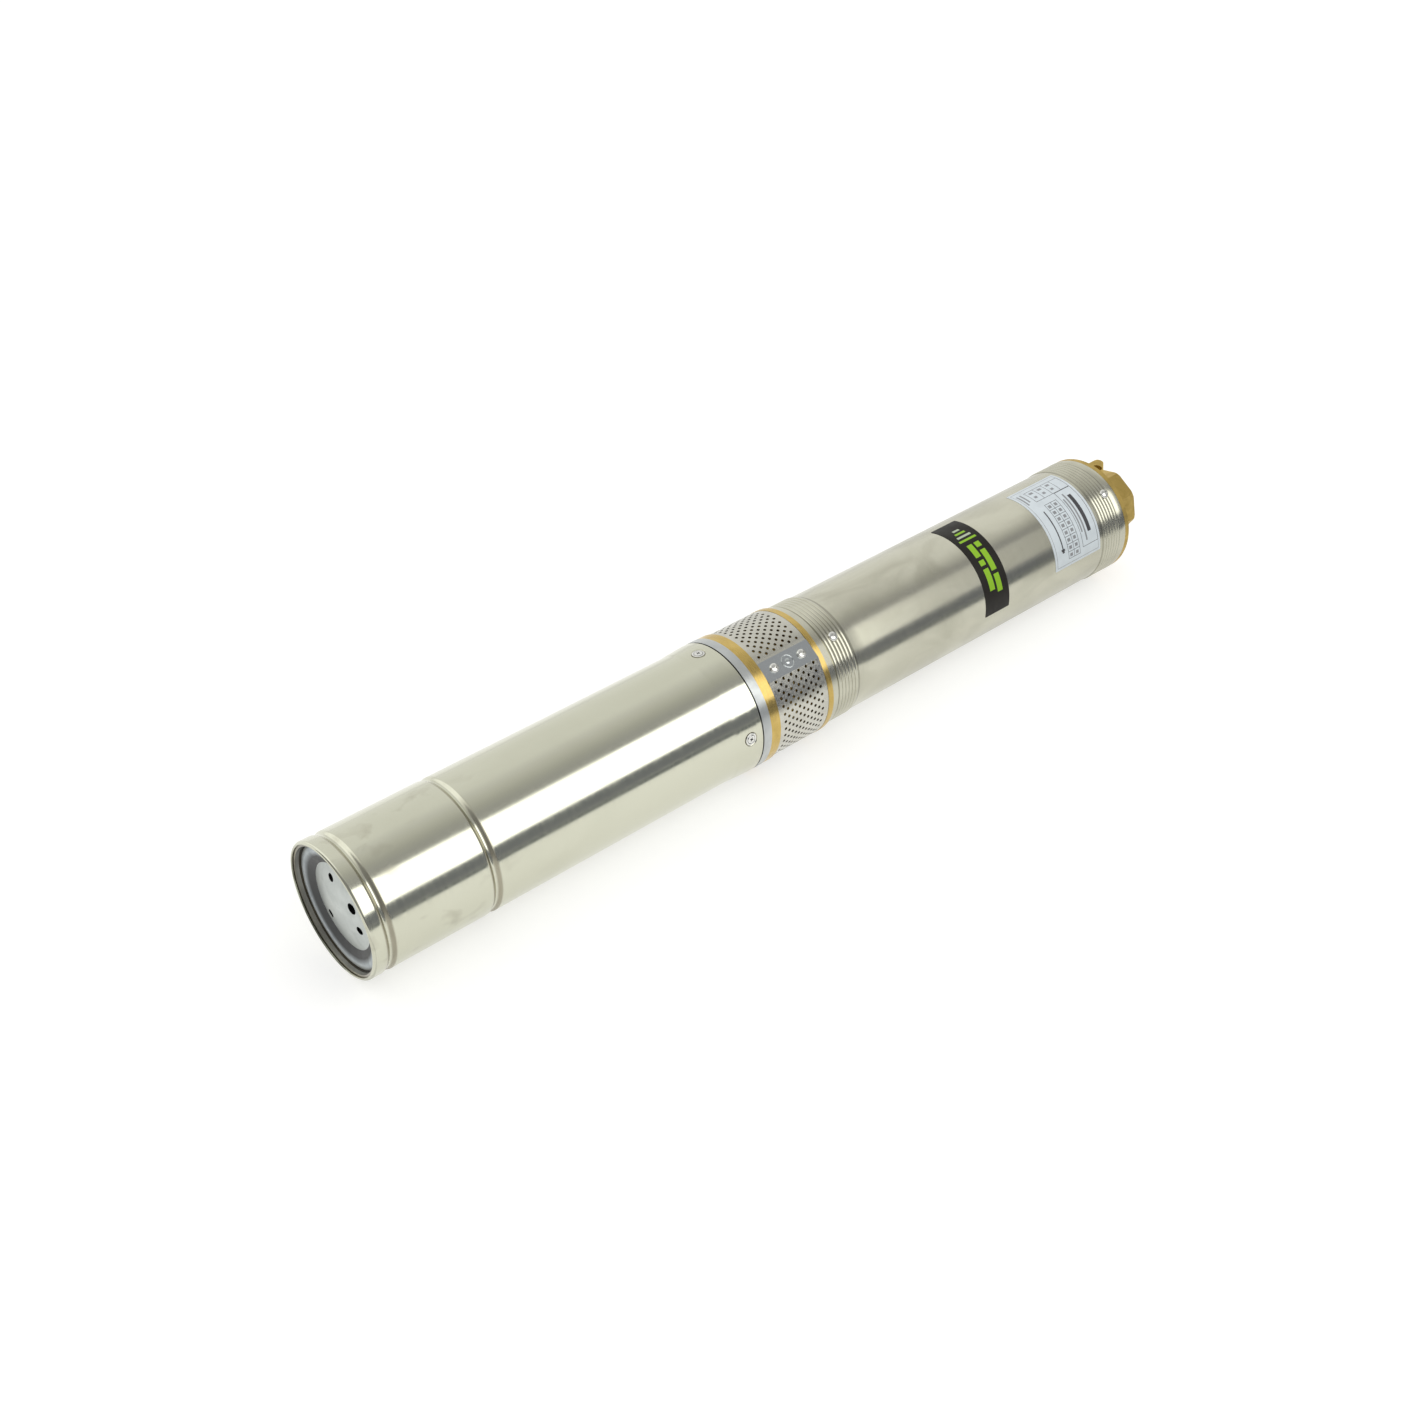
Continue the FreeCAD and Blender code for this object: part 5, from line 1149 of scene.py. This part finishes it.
def build_tent():
    """Half round tent with closed ends over the pump, which only reflections see."""
    near_end = emission("tent_near_end", WHITE, NEAR_END_TONE)
    far_end = emission("tent_far_end", (1.0, 1.0, 0.97), FAR_END_TONE)
    corners = []
    faces = []
    angles = stations(0.0, TENT_LAST_ANGLE, 8.0)
    for metres in (TENT_START, TENT_END):
        corners += [place(metres / MM, TENT_RADIUS / MM, angle) for angle in angles]
    count = len(angles)
    for index in range(count - 1):
        faces.append((index, index + 1, count + index + 1, count + index))
    faces.append(tuple(range(count)))
    faces.append(tuple(range(count, 2 * count)))
    tent = stage_mesh("studio_tent", corners, faces, (tent_material(), near_end, far_end))
    tent.data.polygons[count - 1].material_index = 1
    tent.data.polygons[count].material_index = 2
    tent.visible_camera = False
    tent.visible_shadow = False
    tent.visible_diffuse = False
    tent.visible_transmission = False


def floor_place(tree):
    """Metres along the floor from the motor's foot, and metres across it."""
    x, y, z = coordinates(tree)
    return calc("SUBTRACT", x, MOTOR_FOOT), y


def floor_strip(tree):
    """1 on the floor in front of a slanted line."""
    along, across = floor_place(tree)
    line = calc("MULTIPLY_ADD", calc("MINIMUM", along, STRIP_LAST), STRIP_SLOPE, STRIP_START)
    return spread(calc("SUBTRACT", line, across), -STRIP_SOFT, STRIP_SOFT)


def floor_bright(tree):
    """1 on the floor before the motor's foot."""
    along, across = floor_place(tree)
    beside = spread(calc("ABSOLUTE", across), *BRIGHT_ACROSS)
    return calc("MULTIPLY", spread(along, *BRIGHT_ALONG), beside)


def floor_dim(tree):
    """Share of the floor's brightness that reflections see, which falls along the pump."""
    return spread(floor_place(tree)[0], FLOOR_NEAR, FLOOR_FAR, 1.0, FLOOR_FAR_TONE)


def build_floor():
    """White floor that keeps a faint shadow; in reflections its front is dark."""
    shader = new_material("floor_white", FLOOR_COLOUR, 0.9, 0.0)
    set_input(shader, "Specular IOR Level", 0.0)
    tree = shader.id_data
    plain = shader.outputs[0]
    white = add_node(tree, "ShaderNodeAddShader", {0: plain, 1: glow(tree, WHITE, FLOOR_GLOW)}).outputs[0]
    rays = add_node(tree, "ShaderNodeLightPath").outputs
    glossy = rays["Is Glossy Ray"]
    seen = calc("MAXIMUM", rays["Is Camera Ray"], rays["Is Transmission Ray"])
    seen = calc("MAXIMUM", seen, calc("MULTIPLY", glossy, floor_dim(tree)))
    bright = floor_bright(tree)
    tone = glow(tree, mix_colour(bright, STRIP_TONE, BRIGHT_TONE), 1.0)
    changed = calc("MULTIPLY", glossy, calc("MAXIMUM", floor_strip(tree), bright))
    shown = mix_shaders(changed, mix_shaders(seen, plain, white), tone)
    set_input(tree.nodes["Material Output"], 0, shown)
    corners = [(FLOOR_REACH * x, FLOOR_REACH * y, 0) for x, y in ((-1, -1), (1, -1), (1, 1), (-1, 1))]
    floor = stage_mesh("floor", corners, [(0, 1, 2, 3)], (materials["floor_white"],))


def build_world():
    """White where it is seen, and a little softer as light on the pump."""
    world = bpy.data.worlds.new("studio")
    bpy.context.scene.world = world
    world.use_nodes = True
    tree = world.node_tree
    tree.nodes.clear()
    rays = add_node(tree, "ShaderNodeLightPath").outputs
    seen = calc("MAXIMUM", rays["Is Camera Ray"], rays["Is Transmission Ray"])
    seen = calc("MAXIMUM", seen, rays["Is Glossy Ray"])
    soft = glow(tree, WHITE, WORLD_STRENGTH, "ShaderNodeBackground")
    white = glow(tree, WHITE, 1.0, "ShaderNodeBackground")
    add_node(tree, "ShaderNodeOutputWorld", {0: mix_shaders(seen, soft, white)})


def build_key_light():
    """Soft lamp from above and in front, which gives the shadow under the pump."""
    data = bpy.data.lights.new("key", "AREA")
    data.shape = "RECTANGLE"
    data.size, data.size_y = LAMP_SIZE
    data.energy = LAMP_POWER
    lamp = bpy.data.objects.new("key", data)
    lamp.location = LAMP_PLACE
    lamp.rotation_euler = (-lamp.location).to_track_quat("-Z", "Y").to_euler()
    lamp.visible_camera = False
    lamp.visible_glossy = False
    bpy.context.scene.collection.objects.link(lamp)


def build_camera():
    data = bpy.data.cameras.new("camera")
    data.lens = FOCAL_PIXELS / PHOTO_WIDTH * SENSOR
    data.sensor_width = SENSOR
    data.clip_start = 0.01
    camera = bpy.data.objects.new("camera", data)
    camera.location = Vector((MOTOR_FOOT, 0, AXIS_HEIGHT)) + CAMERA_PLACE
    turn = math.radians(CAMERA_AZIMUTH)
    tilt = math.radians(CAMERA_ELEVATION)
    forward = Vector((math.cos(tilt) * math.cos(turn), math.cos(tilt) * math.sin(turn), -math.sin(tilt)))
    camera.rotation_euler = forward.to_track_quat("-Z", "Y").to_euler()
    bpy.context.scene.collection.objects.link(camera)
    bpy.context.scene.camera = camera


def view_settings():
    bpy.context.scene.view_settings.view_transform = "Standard"


build_camera()
build_world()
build_tent()
build_floor()
build_key_light()
view_settings()
make_materials()
dress_cad()
build_motor_shell()
build_pump_tube()
build_strainer()
build_all_screws()
build_valve_spring()
